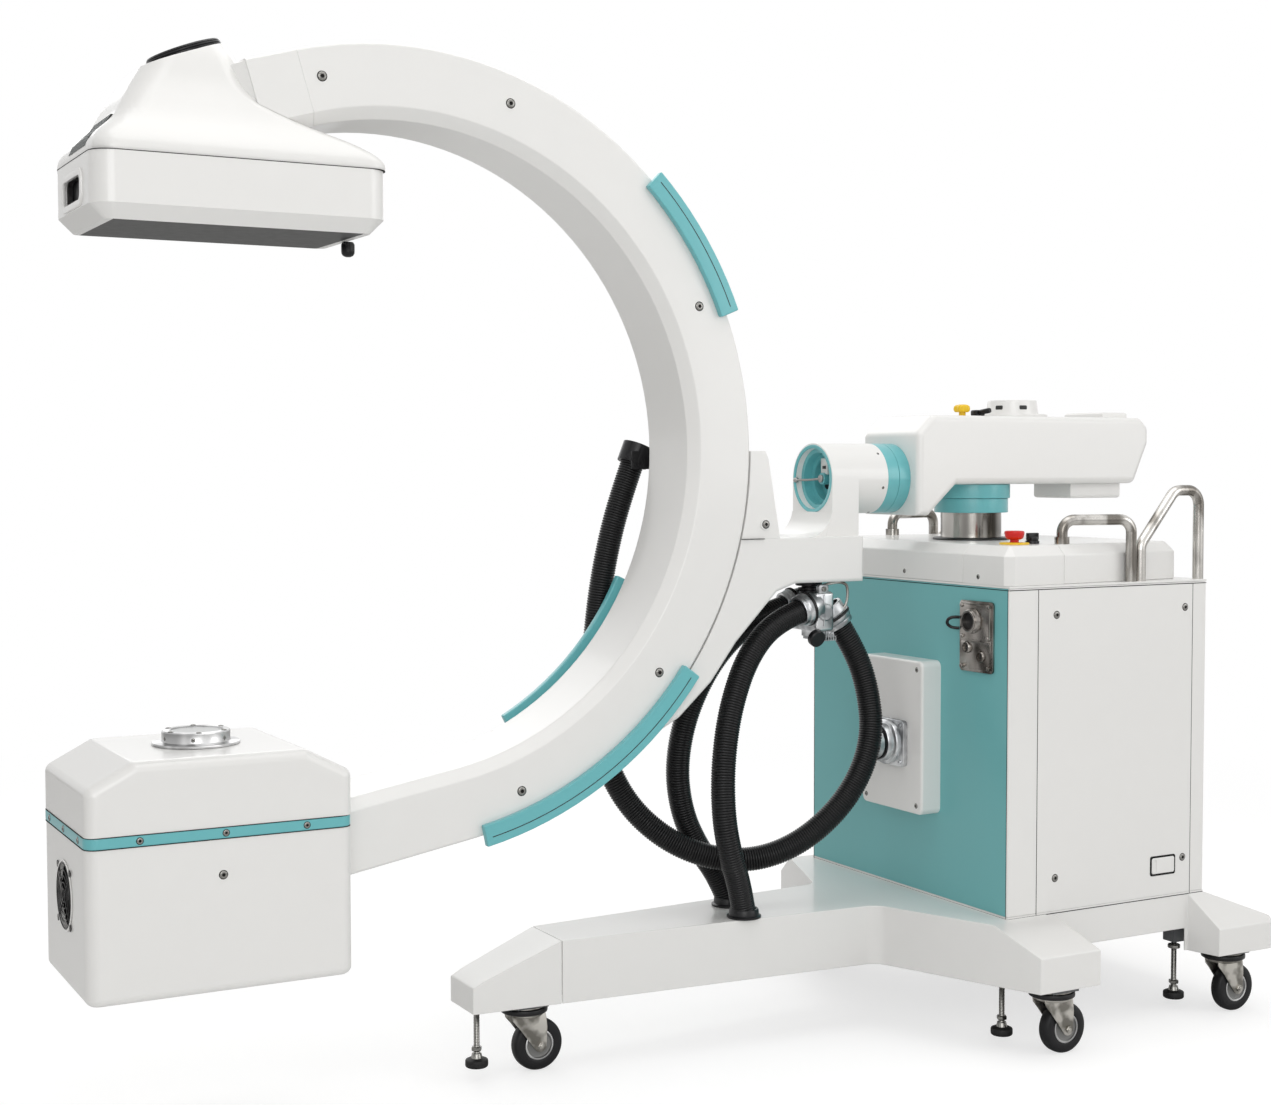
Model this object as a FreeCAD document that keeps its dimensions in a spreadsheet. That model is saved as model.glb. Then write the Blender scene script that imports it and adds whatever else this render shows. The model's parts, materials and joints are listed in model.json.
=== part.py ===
"""Mobile C-arm X-ray unit: one part made of separate pieces, in millimetres, +Z up.

The origin is on the floor under the middle of the machine. +X runs from the C towards the
push handles and +Y is the side with the hose that is led up beside the C.
"""
import FreeCAD, Part
import math
import os

import Sketcher
from FreeCAD import Placement, Rotation, Vector

DOC = FreeCAD.newDocument("MobileCArm")
SHEET = DOC.addObject("Spreadsheet::Sheet", "Sizes")
KEPT = []
ROWS = []


class Size:
    """A number that remembers the formula it came from, so that objects can be bound to it."""

    def __init__(self, text, value):
        self.text = text
        self.value = value

    def _with(self, sign, other, value, swapped=False):
        first, second = (formula(other), self.text) if swapped else (self.text, formula(other))
        return Size("(%s %s %s)" % (first, sign, second), value)

    def __add__(self, other):
        return self._with("+", other, self.value + number(other))

    def __radd__(self, other):
        return self._with("+", other, number(other) + self.value, True)

    def __sub__(self, other):
        return self._with("-", other, self.value - number(other))

    def __rsub__(self, other):
        return self._with("-", other, number(other) - self.value, True)

    def __mul__(self, other):
        return self._with("*", other, self.value * number(other))

    def __rmul__(self, other):
        return self._with("*", other, number(other) * self.value, True)

    def __truediv__(self, other):
        return self._with("/", other, self.value / number(other))

    def __neg__(self):
        return Size("(0 - %s)" % self.text, -self.value)


def number(amount):
    """The plain value of a Size or a number."""
    return amount.value if isinstance(amount, Size) else float(amount)


def formula(amount):
    """The expression text of a Size or a number."""
    return amount.text if isinstance(amount, Size) else "%.9g" % float(amount)


def cosine(degrees):
    return Size("cos(%s)" % formula(degrees), math.cos(math.radians(number(degrees))))


def sine(degrees):
    return Size("sin(%s)" % formula(degrees), math.sin(math.radians(number(degrees))))


def size(alias, amount, note):
    """Write one driving dimension into the sheet and hand it back."""
    row = len(ROWS) + 1
    ROWS.append(alias)
    SHEET.set("A%d" % row, note)
    SHEET.set("B%d" % row, str(amount))
    SHEET.setAlias("B%d" % row, alias)
    SHEET.recompute()
    return Size("Sizes." + alias, float(SHEET.get(alias)))


# Driving dimensions. X values are counted from the cabinet's front face until shift() moves them.
wall = size("shell_wall", 5, "wall of the moulded covers")
seam = size("seam_gap", 0.6, "visible joint between two covers")
running = size("running_gap", 0.4, "gap between faces that turn past each other")
shaft_fit = size("shaft_fit", 0.05, "radial clearance of a shaft in its bore")

leg_bottom = size("leg_underside", 138, "underside of the legs above the floor")
leg_top = size("leg_topside", 258, "top of the base cover")
leg_tip = size("leg_tip_reach", 1012, "front leg: tip ahead of the cabinet")
leg_tip_half = size("leg_tip_half", 54, "front leg: half width at the tip")
leg_root = size("leg_root_reach", 150, "front leg: root ahead of the cabinet")
leg_root_half = size("leg_root_half", 112, "front leg: half width at the root")
leg_slope = size("leg_slope_reach", 835, "front leg: where its top starts to slope, and the cap's seam")
leg_nose = size("leg_nose_height", 200, "front leg: top of its nose")
foot_front = size("foot_front_reach", 12, "side foot: front corner ahead of the cabinet")
foot_rear = size("foot_rear_x", 138, "side foot: rear corner")
foot_root = size("foot_root_x", 98, "side foot: where its rear edge meets the plinth")
foot_half = size("foot_half", 455, "side feet: half of their span")
foot_slope = size("foot_slope_y", 360, "side foot: where its top starts to slope")
foot_nose = size("foot_nose_height", 208, "side foot: top at its end")
plinth_bottom = size("plinth_underside", 185, "underside of the plinth between the feet")
rear_root = size("rear_root_x", 478, "rear foot: root")
rear_end = size("rear_end_x", 650, "rear feet: end")
rear_half = size("rear_half", 412, "rear feet: half of their span")
rear_nose = size("rear_nose_height", 205, "rear feet: top at their end")

cab_depth = size("cabinet_depth", 520, "cabinet front to back")
cab_half = size("cabinet_half", 340, "cabinet half width")
panel_tall = size("panel_height", 645, "cabinet panels")
post_front = size("post_front_width", 72, "front corner post, seen from the side")
post_rear = size("post_rear_width", 38, "rear corner post, seen from the side")
panel_deep = size("panel_return", 14, "folded edge of the cabinet panels")
sheet_metal = size("sheet_metal", 2, "cabinet sheet thickness")
ledge = size("ledge_plate", 4, "top plate of the cabinet")
lid_tall = size("lid_height", 78, "top lid")
lid_rear = size("lid_rear_x", 486, "rear end of the lid")
lid_rear_half = size("lid_rear_half", 296, "lid half width at its rear end")
lid_chamfer = size("lid_chamfer", 20, "chamfer along the top of the lid")
corner_x = size("corner_cover_x", 150, "corner cover of the lid: length")
corner_wide = size("corner_cover_width", 145, "corner cover of the lid: width")

column_x = size("column_x", 175, "lift column behind the cabinet front")
column_r = size("column_radius", 64, "chrome column")
column_wall = size("column_wall", 8, "wall of both column tubes")
column_show = size("column_show", 58, "chrome column in view at the lowest setting")
ring_low_r = size("pan_ring_low_radius", 78, "lower ring of the swivel")
ring_high_r = size("pan_ring_high_radius", 82, "upper ring of the swivel")
ring_tall = size("pan_ring_height", 30, "each ring of the swivel")

arm_half = size("arm_half", 99, "arm housing half width")
arm_tall = size("arm_height", 143, "arm housing, underside to top")
arm_front = size("arm_front_reach", 38, "arm housing: front face ahead of the cabinet front")
arm_rear = size("arm_rear_x", 588, "arm housing: rear end")
arm_travel = size("arm_travel", 130, "horizontal travel of the arm")
flip_up = size("flip_above_arm", 13, "flip axis above the underside of the arm")
flip_r = size("flip_radius", 72, "flip barrel and rings")
flip_ring = size("flip_ring_width", 28, "each ring on the flip axis")
flip_shaft = size("flip_shaft_radius", 38, "flip shaft")
barrel_end = size("barrel_reach", 232, "flip barrel: open end ahead of the cabinet")

c_x = size("c_centre_reach", 1150, "centre of the C ahead of the cabinet")
c_up = size("c_above_flip", 52, "centre of the C above the flip axis")
c_out = size("c_outer_radius", 710, "C outer radius")
c_deep = size("c_radial_depth", 130, "C depth, outer to inner radius")
c_half = size("c_half", 95, "C half width")
c_bevel = size("c_bevel", 20, "bevel along the inner edges of the C")
c_wall = size("c_wall", 7, "wall of the hollow C")
groove_half = size("rim_groove_half", 32, "running groove in the rim, half width")
groove_deep = size("rim_groove_depth", 20, "running groove in the rim, depth")
c_high = size("c_high_angle", 106, "upper end of the arc")
c_low = size("c_low_angle", 80, "lower end of the arc, below the horizontal")
cap_long = size("c_cap_length", 92, "end cap past the upper end")
rim_gap = size("rim_gap", 3, "gap between the rim and its carriage")
carriage_half = size("carriage_half", 92, "carriage half width")

beam_x = size("beam_from_centre", 300, "middle of the detector ahead of the centre of the C")
tube_ahead = size("tube_from_centre", 355, "middle of the tube housing ahead of the centre of the C")
tube_long = size("tube_length", 450, "tube housing length")
tube_half = size("tube_half", 165, "tube housing half width")
tube_bottom = size("tube_underside", 276, "tube housing underside")
tube_tall = size("tube_height", 257, "tube housing, lower shell")
band_tall = size("band_height", 19, "teal band between the shells")
tube_cap = size("tube_cover_height", 118, "tube housing, upper cover")
tube_drop = size("tube_cover_drop", 42, "height of the sloping ends of the cover")
tube_run = size("tube_cover_run", 80, "length of the sloping ends of the cover")
guard_thick = size("guard_thickness", 3, "fan guard")
fan_r = size("fan_radius", 57, "fan opening")
fan_up = size("fan_height", 154, "fan axis above the underside")

det_long = size("detector_length", 500, "detector housing length")
det_half = size("detector_half", 150, "detector housing half width")
det_bottom = size("detector_underside", 1545, "detector underside")
det_tray = size("detector_tray_height", 108, "detector lower shell")

wheel_r = size("wheel_radius", 50, "caster wheel")
caster_trail = size("caster_trail", 26, "wheel axle behind the swivel axis")
rear_slant = size("rear_foot_slant", 18, "rear foot: how far its front edge leans back")
foot_lean = size("nose_lean", 26, "how far each nose leans back at its tip")
corner_r = size("leg_corner_radius", 40, "rounding of the inner corners of the legs")
spine_half = size("spine_half", 35, "chassis spine half width")
beam_low = size("beam_underside", 146, "underside of the chassis beams")
beam_tall = size("beam_height", 40, "chassis beams")
beam_wall = size("beam_wall", 4, "wall of the chassis beams")
cross_half = size("cross_half", 26, "cross beams, half width")
caster_front = size("caster_front_reach", 884, "front caster ahead of the cabinet")
caster_side_x = size("caster_side_x", 62, "side casters")
caster_side_y = size("caster_side_y", 400, "side casters, off the middle")
caster_rear_x = size("caster_rear_x", 570, "rear casters")
caster_rear_y = size("caster_rear_y", 350, "rear casters, off the middle")
plate_half = size("caster_plate_half", 42, "caster plates, half width")
plate_long = size("caster_plate_long", 32, "caster plates, half length")
plate_low = size("caster_plate_underside", 130, "underside of the caster plates")
rail_y = size("cabinet_rail_y", 270, "cabinet rails, off the middle")
rail_half = size("cabinet_rail_half", 20, "cabinet rails, half width")
race_r = size("caster_race_radius", 30, "swivel race")
race_tall = size("caster_race_height", 9, "swivel race, height")
fork_half = size("fork_half", 19, "fork, half width over its cheeks")
fork_plate = size("fork_plate", 3, "fork sheet")
axle_r = size("axle_radius", 5, "caster axle")
tyre_half = size("tyre_half", 14, "tyre, half width")
hub_r = size("hub_radius", 36, "wheel hub under its tyre")
stem_r = size("caster_stem_radius", 7, "caster stem")
post_r = size("foot_post_radius", 6, "levelling post")
pad_r = size("foot_pad_radius", 18, "levelling pad")
pad_low = size("foot_pad_height", 24, "levelling pad above the floor when raised")
pad_tall = size("foot_pad_thickness", 14, "levelling pad, thickness")
upright = size("upright_width", 25, "uprights inside the cabinet")
latch_x = size("latch_x", 402, "recessed latch in the left panel")
latch_z = size("latch_z", 318, "recessed latch, height above the floor")
latch_long = size("latch_length", 60, "recessed latch")
latch_tall = size("latch_height", 36, "recessed latch, its height")
stop_x = size("stop_x", 84, "stop button")
stop_in = size("stop_inset", 88, "stop button, from the side of the cabinet")
stop_r = size("stop_radius", 20, "stop button head")
stop_travel = size("stop_travel", 4, "stop button travel")
knob_x = size("knob_x", 132, "rotary knob")
knob_r = size("knob_radius", 14, "rotary knob")
box_half = size("front_box_half", 134, "box on the front panel, half width")
box_mid = size("front_box_middle", 52, "box on the front panel, off the middle")
box_low = size("front_box_low", 432, "box on the front panel, underside")
box_high = size("front_box_high", 748, "box on the front panel, top")
box_deep = size("front_box_depth", 48, "box on the front panel, depth")
box_round = size("front_box_corner", 14, "box on the front panel, corners")
flange_y = size("flange_y", 25, "cable flange, off the middle")
flange_z = size("flange_z", 574, "cable flange above the floor")
flange_r = size("flange_radius", 56, "cable flange")
gland_r = size("gland_radius", 30, "cable gland")
gland_long = size("gland_length", 54, "cable gland")
socket_outer = size("socket_plate_outer", 296, "connector plate, outer edge")
socket_inner = size("socket_plate_inner", 192, "connector plate, inner edge")
socket_low = size("socket_plate_low", 736, "connector plate, underside")
socket_high = size("socket_plate_high", 878, "connector plate, top")
column_low = size("inner_column_low", 330, "lower end of the inner tube at the lowest setting")
swivel_r = size("swivel_pin_radius", 30, "swivel pin")
neck_half = size("neck_half", 30, "neck of the saddle, half width")
saddle_half = size("saddle_half", 80, "saddle, half width")
rail_tall = size("slide_rail_height", 12, "slide rails in the arm")
arm_edge = size("arm_edge_radius", 14, "rounding along both sides of the arm")
arm_corner = size("arm_corner_radius", 16, "rounding of the arm's own corners")
puck_x = size("puck_x", 285, "round cover on top of the arm")
lock_x = size("lock_knob_x", 112, "lock knob on the arm")
lock_y = size("lock_knob_y", 48, "lock knob, off the middle")
bracket_right = size("bracket_right", 168, "bracket: right side ahead of the cabinet")
wall_left = size("bracket_wall_left", 247, "bracket: wall under the barrel, left side")
recess_down = size("recess_below_flip", 116, "bracket: recess floor below the flip axis")
cheek_right = size("cheek_right", 369, "carriage cheek: right side ahead of the cabinet")
cup_r = size("cup_radius", 62, "cup in the open end of the barrel")
cup_deep = size("cup_depth", 60, "cup in the open end of the barrel, depth")
tail_long = size("c_tail_length", 296, "straight run of the C into the tube housing")
neck_left = size("bell_neck_left", 162, "bell: height of its cut neck at the left")
neck_right = size("bell_neck_right", 214, "bell: height of its cut neck at the right")
bolt_r = size("c_bolt_circle", 657, "bolts on the faces of the C, from its centre")
guard_in = size("guard_inner_radius", 688, "rim guard, inner radius")
guard_out = size("guard_outer_radius", 728, "rim guard, outer radius")
guard_deep = size("guard_depth", 15, "rim guard, thickness")
slot_half = size("slot_half", 45, "slot in the end of the detector, half width")
slot_low = size("slot_low", 1586, "slot in the end of the detector, underside")
slot_tall = size("slot_height", 32, "slot in the end of the detector")
slot_deep = size("slot_depth", 40, "slot in the end of the detector, depth")
ring_r = size("collimator_bore", 45, "beam opening in the collimator ring")
handle_r = size("handle_radius", 11, "push handles, radius")
handle_in = size("handle_inset", 14, "push handles, from the side of the cabinet")
handle_x = size("handle_x", 350, "push handles, front leg")
handle_rear = size("handle_rear_x", 509, "push handles, rear leg")
handle_top = size("handle_top", 1095, "push handles, top")
clamp_x = size("clamp_x", 240, "hose clamp ahead of the cabinet")
clamp_z = size("clamp_z", 852, "hose clamp above the floor")
hose_r = size("hose_radius", 24, "corrugated hoses")
lead_y = size("lead_y", 140, "hose led up the far side, off the middle")

# Heights and places that follow from the sizes above.
panel_low = leg_top + ledge
panel_high = panel_low + panel_tall
lid_low = panel_high + ledge
lid_top = lid_low + lid_tall
ring_low = lid_top + column_show
ring_mid = ring_low + ring_tall
arm_low = ring_mid + running + ring_tall
arm_top = arm_low + arm_tall
flip_z = arm_low + flip_up
c_z = flip_z + c_up
stop_y = cab_half - stop_in
corner_y = cab_half - corner_wide
handle_y = cab_half - handle_in
low_rail_y = handle_y - 40
x_min = -c_x - tube_ahead - tube_long / 2 - guard_thick
front_x = -(x_min + rear_end) / 2


def shift(x):
    """From the cabinet's front face to the part's own frame."""
    return front_x + x


centre_x = shift(-c_x)
beam = shift(-c_x - beam_x)
tube_mid = shift(-c_x - tube_ahead)


def bind(thing, slot, amount):
    thing.setExpression(slot, formula(amount))


def place(thing, x=0, y=0, z=0, rotation=None):
    thing.Placement = Placement(Vector(number(x), number(y), number(z)), rotation or Rotation())
    for slot, amount in (("x", x), ("y", y), ("z", z)):
        bind(thing, "Placement.Base." + slot, amount)
    return thing


def box(name, x, y, z):
    """A block between two corners; x, y and z are (low, high) pairs."""
    block = DOC.addObject("Part::Box", name)
    for slot, pair in (("Length", x), ("Width", y), ("Height", z)):
        bind(block, slot, pair[1] - pair[0])
    return place(block, x[0], y[0], z[0])


TURNS = {
    "X": Rotation(Vector(0, 1, 0), 90),
    "Y": Rotation(Vector(1, 0, 0), -90),
    "Z": Rotation(),
}


def rod(name, axis, start, radius, length, angle=None, turn=None):
    """A cylinder from start along +X, +Y or +Z."""
    bar = DOC.addObject("Part::Cylinder", name)
    bind(bar, "Radius", radius)
    bind(bar, "Height", length)
    if angle is not None:
        bind(bar, "Angle", angle)
    return place(bar, *start, rotation=turn or TURNS[axis])


def cone(name, axis, start, first, second, length):
    """A cone from start along an axis, first and second being its end radii."""
    taper = DOC.addObject("Part::Cone", name)
    bind(taper, "Radius1", first)
    bind(taper, "Radius2", second)
    bind(taper, "Height", length)
    return place(taper, *start, rotation=TURNS[axis])


def fuse(name, *parts):
    joined = DOC.addObject("Part::MultiFuse", name)
    joined.Shapes = list(parts)
    joined.Refine = True
    return joined


def cut(name, base, *tools):
    removed = DOC.addObject("Part::Cut", name)
    removed.Base = base
    removed.Tool = tools[0] if len(tools) == 1 else fuse(name + "_tools", *tools)
    removed.Refine = True
    return removed


def overlap(name, first, second):
    shared = DOC.addObject("Part::Common", name)
    shared.Base = first
    shared.Tool = second
    shared.Refine = True
    return shared


def group(name, parts):
    """Separate solids of one kind that share a node."""
    set_of = DOC.addObject("Part::Compound", name)
    set_of.Links = list(parts)
    return set_of


def tube(name, axis, start, outer, inner, length):
    return cut(name, rod(name + "_outer", axis, start, outer, length),
               rod(name + "_bore", axis, start, inner, length))


def outline(sketch, points):
    """A closed outline of straight sides, each corner held by two bound distances."""
    corners = [Vector(number(u), number(v), 0) for u, v in points]
    count = len(corners)
    first = sketch.GeometryCount
    for i in range(count):
        sketch.addGeometry(Part.LineSegment(corners[i], corners[(i + 1) % count]), False)
    for i in range(count):
        sketch.addConstraint(Sketcher.Constraint("Coincident", first + i, 2, first + (i + 1) % count, 1))
    for i, pair in enumerate(points, first):
        for kind, axis, amount in (("DistanceX", -2, pair[0]), ("DistanceY", -1, pair[1])):
            if abs(number(amount)) < 1e-9:
                sketch.addConstraint(Sketcher.Constraint("PointOnObject", i, 1, axis))
                continue
            ahead = number(amount) > 0
            ends = (-1, 1, i, 1) if ahead else (i, 1, -1, 1)
            held = sketch.addConstraint(Sketcher.Constraint(kind, *ends, abs(number(amount))))
            if isinstance(amount, Size):
                bind(sketch, "Constraints[%d]" % held, amount if ahead else -amount)
    return sketch


PLANES = {
    "XY": Rotation(),
    "XZ": Rotation(Vector(1, 0, 0), 90),
    "YZ": Rotation(Vector(1, 1, 1), 120),
}


def slab(name, plane, points, start, length):
    """An outline pushed along its plane's normal: +Z, -Y or +X."""
    sketch = outline(DOC.addObject("Sketcher::SketchObject", name + "_outline"), points)
    offset = {"XY": (0, 0, start), "XZ": (0, start, 0), "YZ": (start, 0, 0)}[plane]
    place(sketch, *offset, rotation=PLANES[plane])
    block = DOC.addObject("Part::Extrusion", name)
    block.Base = sketch
    block.DirMode = "Normal"
    block.Solid = True
    bind(block, "LengthFwd", length)
    return block


def across(name, points, half):
    """An X-Z outline pushed from +half to -half in Y."""
    return slab(name, "XZ", points, half, half * 2)


def edges_of(thing, choose):
    DOC.recompute()
    return [i + 1 for i, edge in enumerate(thing.Shape.Edges) if choose(edge)]


def rounded(name, base, radius, choose, kind="Part::Fillet"):
    """Round (or chamfer) the edges of base that choose() picks."""
    finished = DOC.addObject(kind, name)
    finished.Base = base
    finished.Edges = [(i, number(radius), number(radius)) for i in edges_of(base, choose)]
    return finished


def along(edge, axis):
    """Whether a straight edge runs along an axis."""
    if edge.Curve.TypeId != "Part::GeomLine":
        return False
    return abs(getattr(edge.tangentAt(edge.FirstParameter), axis)) > 0.999


def spans(edge, axis, low, high):
    """Whether the whole edge lies between two places on an axis."""
    box_of = edge.BoundBox
    return (getattr(box_of, axis.upper() + "Min") > number(low) - 0.01
            and getattr(box_of, axis.upper() + "Max") < number(high) + 0.01)


def keep(label, thing):
    """Name a finished sub-part; the name is its file's name too."""
    thing.Label = label
    KEPT.append(thing)
    return thing


def feature(label, shape):
    """A sub-part whose shape is made with Part's own functions."""
    thing = DOC.addObject("Part::Feature", label)
    thing.Shape = shape
    return thing


def new_body(name):
    return DOC.addObject("PartDesign::Body", name)


def body_sketch(body, role, name):
    """A sketch on one of the body's own origin planes."""
    sketch = body.newObject("Sketcher::SketchObject", name)
    plane = [item for item in body.Origin.OriginFeatures if item.Role == role][0]
    sketch.AttachmentSupport = (plane, [""])
    sketch.MapMode = "FlatFace"
    return sketch


def bent_tube(points, radius, bend=None):
    """A round bar along straight runs joined by tangent arcs, and the arcs' radii."""
    nodes = [Vector(*(number(c) for c in point)) for point in points]
    edges, radii = [], []
    last = nodes[0]
    for before, here, after in zip(nodes, nodes[1:], nodes[2:]):
        back, ahead = before - here, after - here
        turn = math.pi - back.getAngle(ahead)
        shorter = min(back.Length, ahead.Length)
        arc = number(bend) if bend else 0.45 * shorter / math.tan(turn / 2)
        reach = arc * math.tan(turn / 2)
        back.normalize()
        ahead.normalize()
        start, end = here + back * reach, here + ahead * reach
        middle = (back + ahead).normalize()
        mid = here + middle * (arc / math.cos(turn / 2) - arc)
        edges.append(Part.LineSegment(last, start).toShape())
        edges.append(Part.Arc(start, mid, end).toShape())
        radii.append(round(arc, 1))
        last = end
    edges.append(Part.LineSegment(last, nodes[-1]).toShape())
    path = Part.Wire(edges)
    first = (nodes[1] - nodes[0]).normalize()
    profile = Part.Wire(Part.makeCircle(number(radius), nodes[0], first))
    return path.makePipeShell([profile], True, False), radii, path.Length


# The base: one moulded cover over the welded chassis, with the nose of the front leg apart.

def base_plan(inset):
    """Plan of the base, one side after the other; slanting sides move further for the same wall."""
    slant = 1.5
    side = [
        (shift(-leg_tip) + inset, leg_tip_half - inset),
        (shift(-leg_root) + inset, leg_root_half - inset),
        (shift(-foot_front) + inset, foot_half - inset),
        (shift(foot_rear) - inset * slant, foot_half - inset),
        (shift(foot_root) - inset * slant, cab_half - inset),
        (shift(rear_root) + inset, cab_half - inset),
        (shift(rear_root) + inset + rear_slant, rear_half - inset),
        (shift(rear_end) - inset, rear_half - inset),
    ]
    return [(x, -y) for x, y in side] + [(x, y) for x, y in reversed(side)]


def base_form(name, inset, drop):
    """The base's outer form, or its hollow when inset and drop are the wall."""
    top = leg_top - inset
    plan = slab(name + "_plan", "XY", base_plan(inset), leg_bottom - drop, top - leg_bottom + drop)
    side = across(name + "_side", [
        (shift(-leg_tip), leg_bottom - drop),
        (shift(rear_end), leg_bottom - drop),
        (shift(rear_end), rear_nose - inset),
        (shift(cab_depth), top),
        (shift(-leg_slope), top),
        (shift(-leg_tip) + foot_lean, leg_nose - inset),
        (shift(-leg_tip), leg_nose - inset - foot_lean / 2),
    ], foot_half + 10)
    form = overlap(name + "_form", plan, side)
    wedges = []
    for side_name, sign in (("left", -1), ("right", 1)):
        for foot, start, low, x0, x1 in (
            ("foot", foot_slope, foot_nose, shift(-leg_root), shift(foot_rear) + 60),
            ("rear", cab_half, rear_nose, shift(rear_root) - 20, shift(rear_end) + 10),
        ):
            end = foot_half if foot == "foot" else rear_half
            drop_to = low if foot == "foot" else low - 10
            points = [(sign * start, top), (sign * end, drop_to - inset),
                      (sign * (end + 20), drop_to - inset), (sign * (end + 20), top + 20),
                      (sign * start, top + 20)]
            wedges.append(slab("%s_%s_%s_slope" % (name, side_name, foot), "YZ", points, x0, x1 - x0))
    under = box(name + "_under", (shift(foot_rear) + 14 - inset, shift(rear_root) - 6 + inset),
                (-foot_half, foot_half), (leg_bottom - drop - 10, plinth_bottom))
    if number(drop) == 0:
        return cut(name, form, *wedges, under)
    return cut(name, form, *wedges)


base_outer = base_form("base_outer", 0, 0)
base_hollow = base_form("base_hollow", wall, 8)
root_corner = shift(-leg_root)
base_round = rounded(
    "base_round", base_outer, corner_r,
    lambda e: along(e, "z") and spans(e, "x", root_corner - 1, root_corner + 1))
base_shell = cut("base_shell", base_round, base_hollow)
nose_box = box("nose_box", (shift(-leg_tip) - 20, shift(-leg_slope)), (-200, 200), (0, 400))
rest_box = box("rest_box", (shift(-leg_tip) - 20, shift(-leg_slope) + seam), (-200, 200), (0, 400))
keep("front_leg_cap", overlap("front_leg_cap", base_shell, nose_box))
keep("base_cover", cut("base_cover", base_shell, rest_box))

# The chassis under the cover: box beams, caster plates and the two rails that carry the cabinet.

beam_high = beam_low + beam_tall


def box_beam(name, x, y, z, axis):
    """A square tube open at both ends."""
    inner = {"x": (x[0] - 1, x[1] + 1), "y": (y[0] + beam_wall, y[1] - beam_wall)}
    if axis == "y":
        inner = {"x": (x[0] + beam_wall, x[1] - beam_wall), "y": (y[0] - 1, y[1] + 1)}
    return cut(name, box(name + "_bar", x, y, z),
               box(name + "_bore", inner["x"], inner["y"], (z[0] + beam_wall, z[1] - beam_wall)))


CASTERS = [
    ("front", -caster_front, 0),
    ("left", caster_side_x, -caster_side_y),
    ("right", caster_side_x, caster_side_y),
    ("rear_left", caster_rear_x, -caster_rear_y),
    ("rear_right", caster_rear_x, caster_rear_y),
]
FEET = {
    "front": (-caster_front - 98, 0),
    "left": (caster_side_x - 54, -caster_side_y + 84),
    "right": (caster_side_x - 54, caster_side_y - 84),
    "rear_left": (caster_rear_x - 76, -caster_rear_y + 64),
    "rear_right": (caster_rear_x - 76, caster_rear_y - 64),
}
beam_z = (beam_low, beam_high)
chassis = [
    box_beam("spine", (shift(-caster_front - plate_half), shift(caster_rear_x)), (-spine_half, spine_half),
             beam_z, "x"),
    box_beam("side_beam", (shift(caster_side_x) - cross_half, shift(caster_side_x) + cross_half),
             (-caster_side_y - cross_half, caster_side_y + cross_half), beam_z, "y"),
    box_beam("rear_beam", (shift(caster_rear_x) - cross_half, shift(caster_rear_x) + cross_half),
             (-caster_rear_y - cross_half, caster_rear_y + cross_half), beam_z, "y"),
]
for where, x, y in CASTERS:
    chassis.append(box("plate_" + where, (shift(x) - plate_long, shift(x) + plate_long),
                       (y - plate_half, y + plate_half), (plate_low, beam_low)))
for hand, sign in (("left", -1), ("right", 1)):
    chassis.append(box("cabinet_rail_" + hand,
                       (shift(caster_side_x) - cross_half, shift(cab_depth) - 8),
                       (sign * rail_y - rail_half, sign * rail_y + rail_half),
                       (beam_high, leg_top - wall - running)))
chassis_bores = []
for where, x, y in CASTERS:
    chassis_bores.append(rod("stem_bore_" + where, "Z", (shift(x), y, plate_low - 1), stem_r + shaft_fit,
                             14))
for where, (x, y) in FEET.items():
    lug_end = x + 60 if "front" in where else x + 48
    lug_high = beam_high + 14 if "rear" in where else beam_low + 14
    chassis.append(box("lug_" + where, (shift(x) - 16, shift(lug_end)), (y - 16, y + 16),
                       (beam_low, lug_high)))
    chassis_bores.append(rod("lug_bore_" + where, "Z", (shift(x), y, beam_low - 1), post_r + shaft_fit,
                             36))
keep("chassis_frame", cut("chassis_frame", fuse("chassis_solid", *chassis), *chassis_bores))

# Casters: a fork that swivels under each plate, and a wheel on its axle.

race_high = plate_low - running
race_low = race_high - race_tall
for where, x, y in CASTERS:
    cx, cy = shift(x), y
    hub_x = cx + caster_trail
    tag = "_" + where
    race = rod("race" + tag, "Z", (cx, cy, race_low), race_r, race_tall)
    stem = rod("stem" + tag, "Z", (cx, cy, race_high - 1), stem_r, plate_low + running - race_high + 12)
    crown = box("crown" + tag, (cx - race_r + 4, hub_x + 14), (cy - fork_half, cy + fork_half),
                (race_low - fork_plate - 2, race_low))
    cheeks = []
    for hand, sign in (("a", -1), ("b", 1)):
        low, high = (fork_half - fork_plate, fork_half)
        points = [(cx - race_r + 6, race_low - 2), (hub_x - 13, wheel_r - 6), (hub_x + 13, wheel_r - 6),
                  (hub_x + 16, race_low - 2)]
        start = cy + (high if sign > 0 else -low)
        cheeks.append(slab("cheek_%s%s" % (hand, tag), "XZ", points, start, fork_plate))
    axle = rod("axle" + tag, "Y", (hub_x, cy - fork_half - 3, wheel_r), axle_r, fork_half * 2 + 6)
    keep("caster_fork" + tag, fuse("caster_fork" + tag, race, stem, crown, *cheeks, axle))
    rim = rod("rim" + tag, "Y", (hub_x, cy - tyre_half, wheel_r), wheel_r, tyre_half * 2)
    tyre_round = rounded("tyre" + tag, rim, 6, lambda e: e.Curve.TypeId == "Part::GeomCircle")
    hub_cut = tube("dish" + tag, "Y", (hub_x, cy - tyre_half - 1, wheel_r), hub_r - 4, 15, 6)
    bore = rod("wheel_bore" + tag, "Y", (hub_x, cy - tyre_half - 2, wheel_r), axle_r + shaft_fit,
               tyre_half * 2 + 4)
    keep("caster_wheel" + tag, cut("caster_wheel" + tag, tyre_round, hub_cut, bore))

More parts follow.
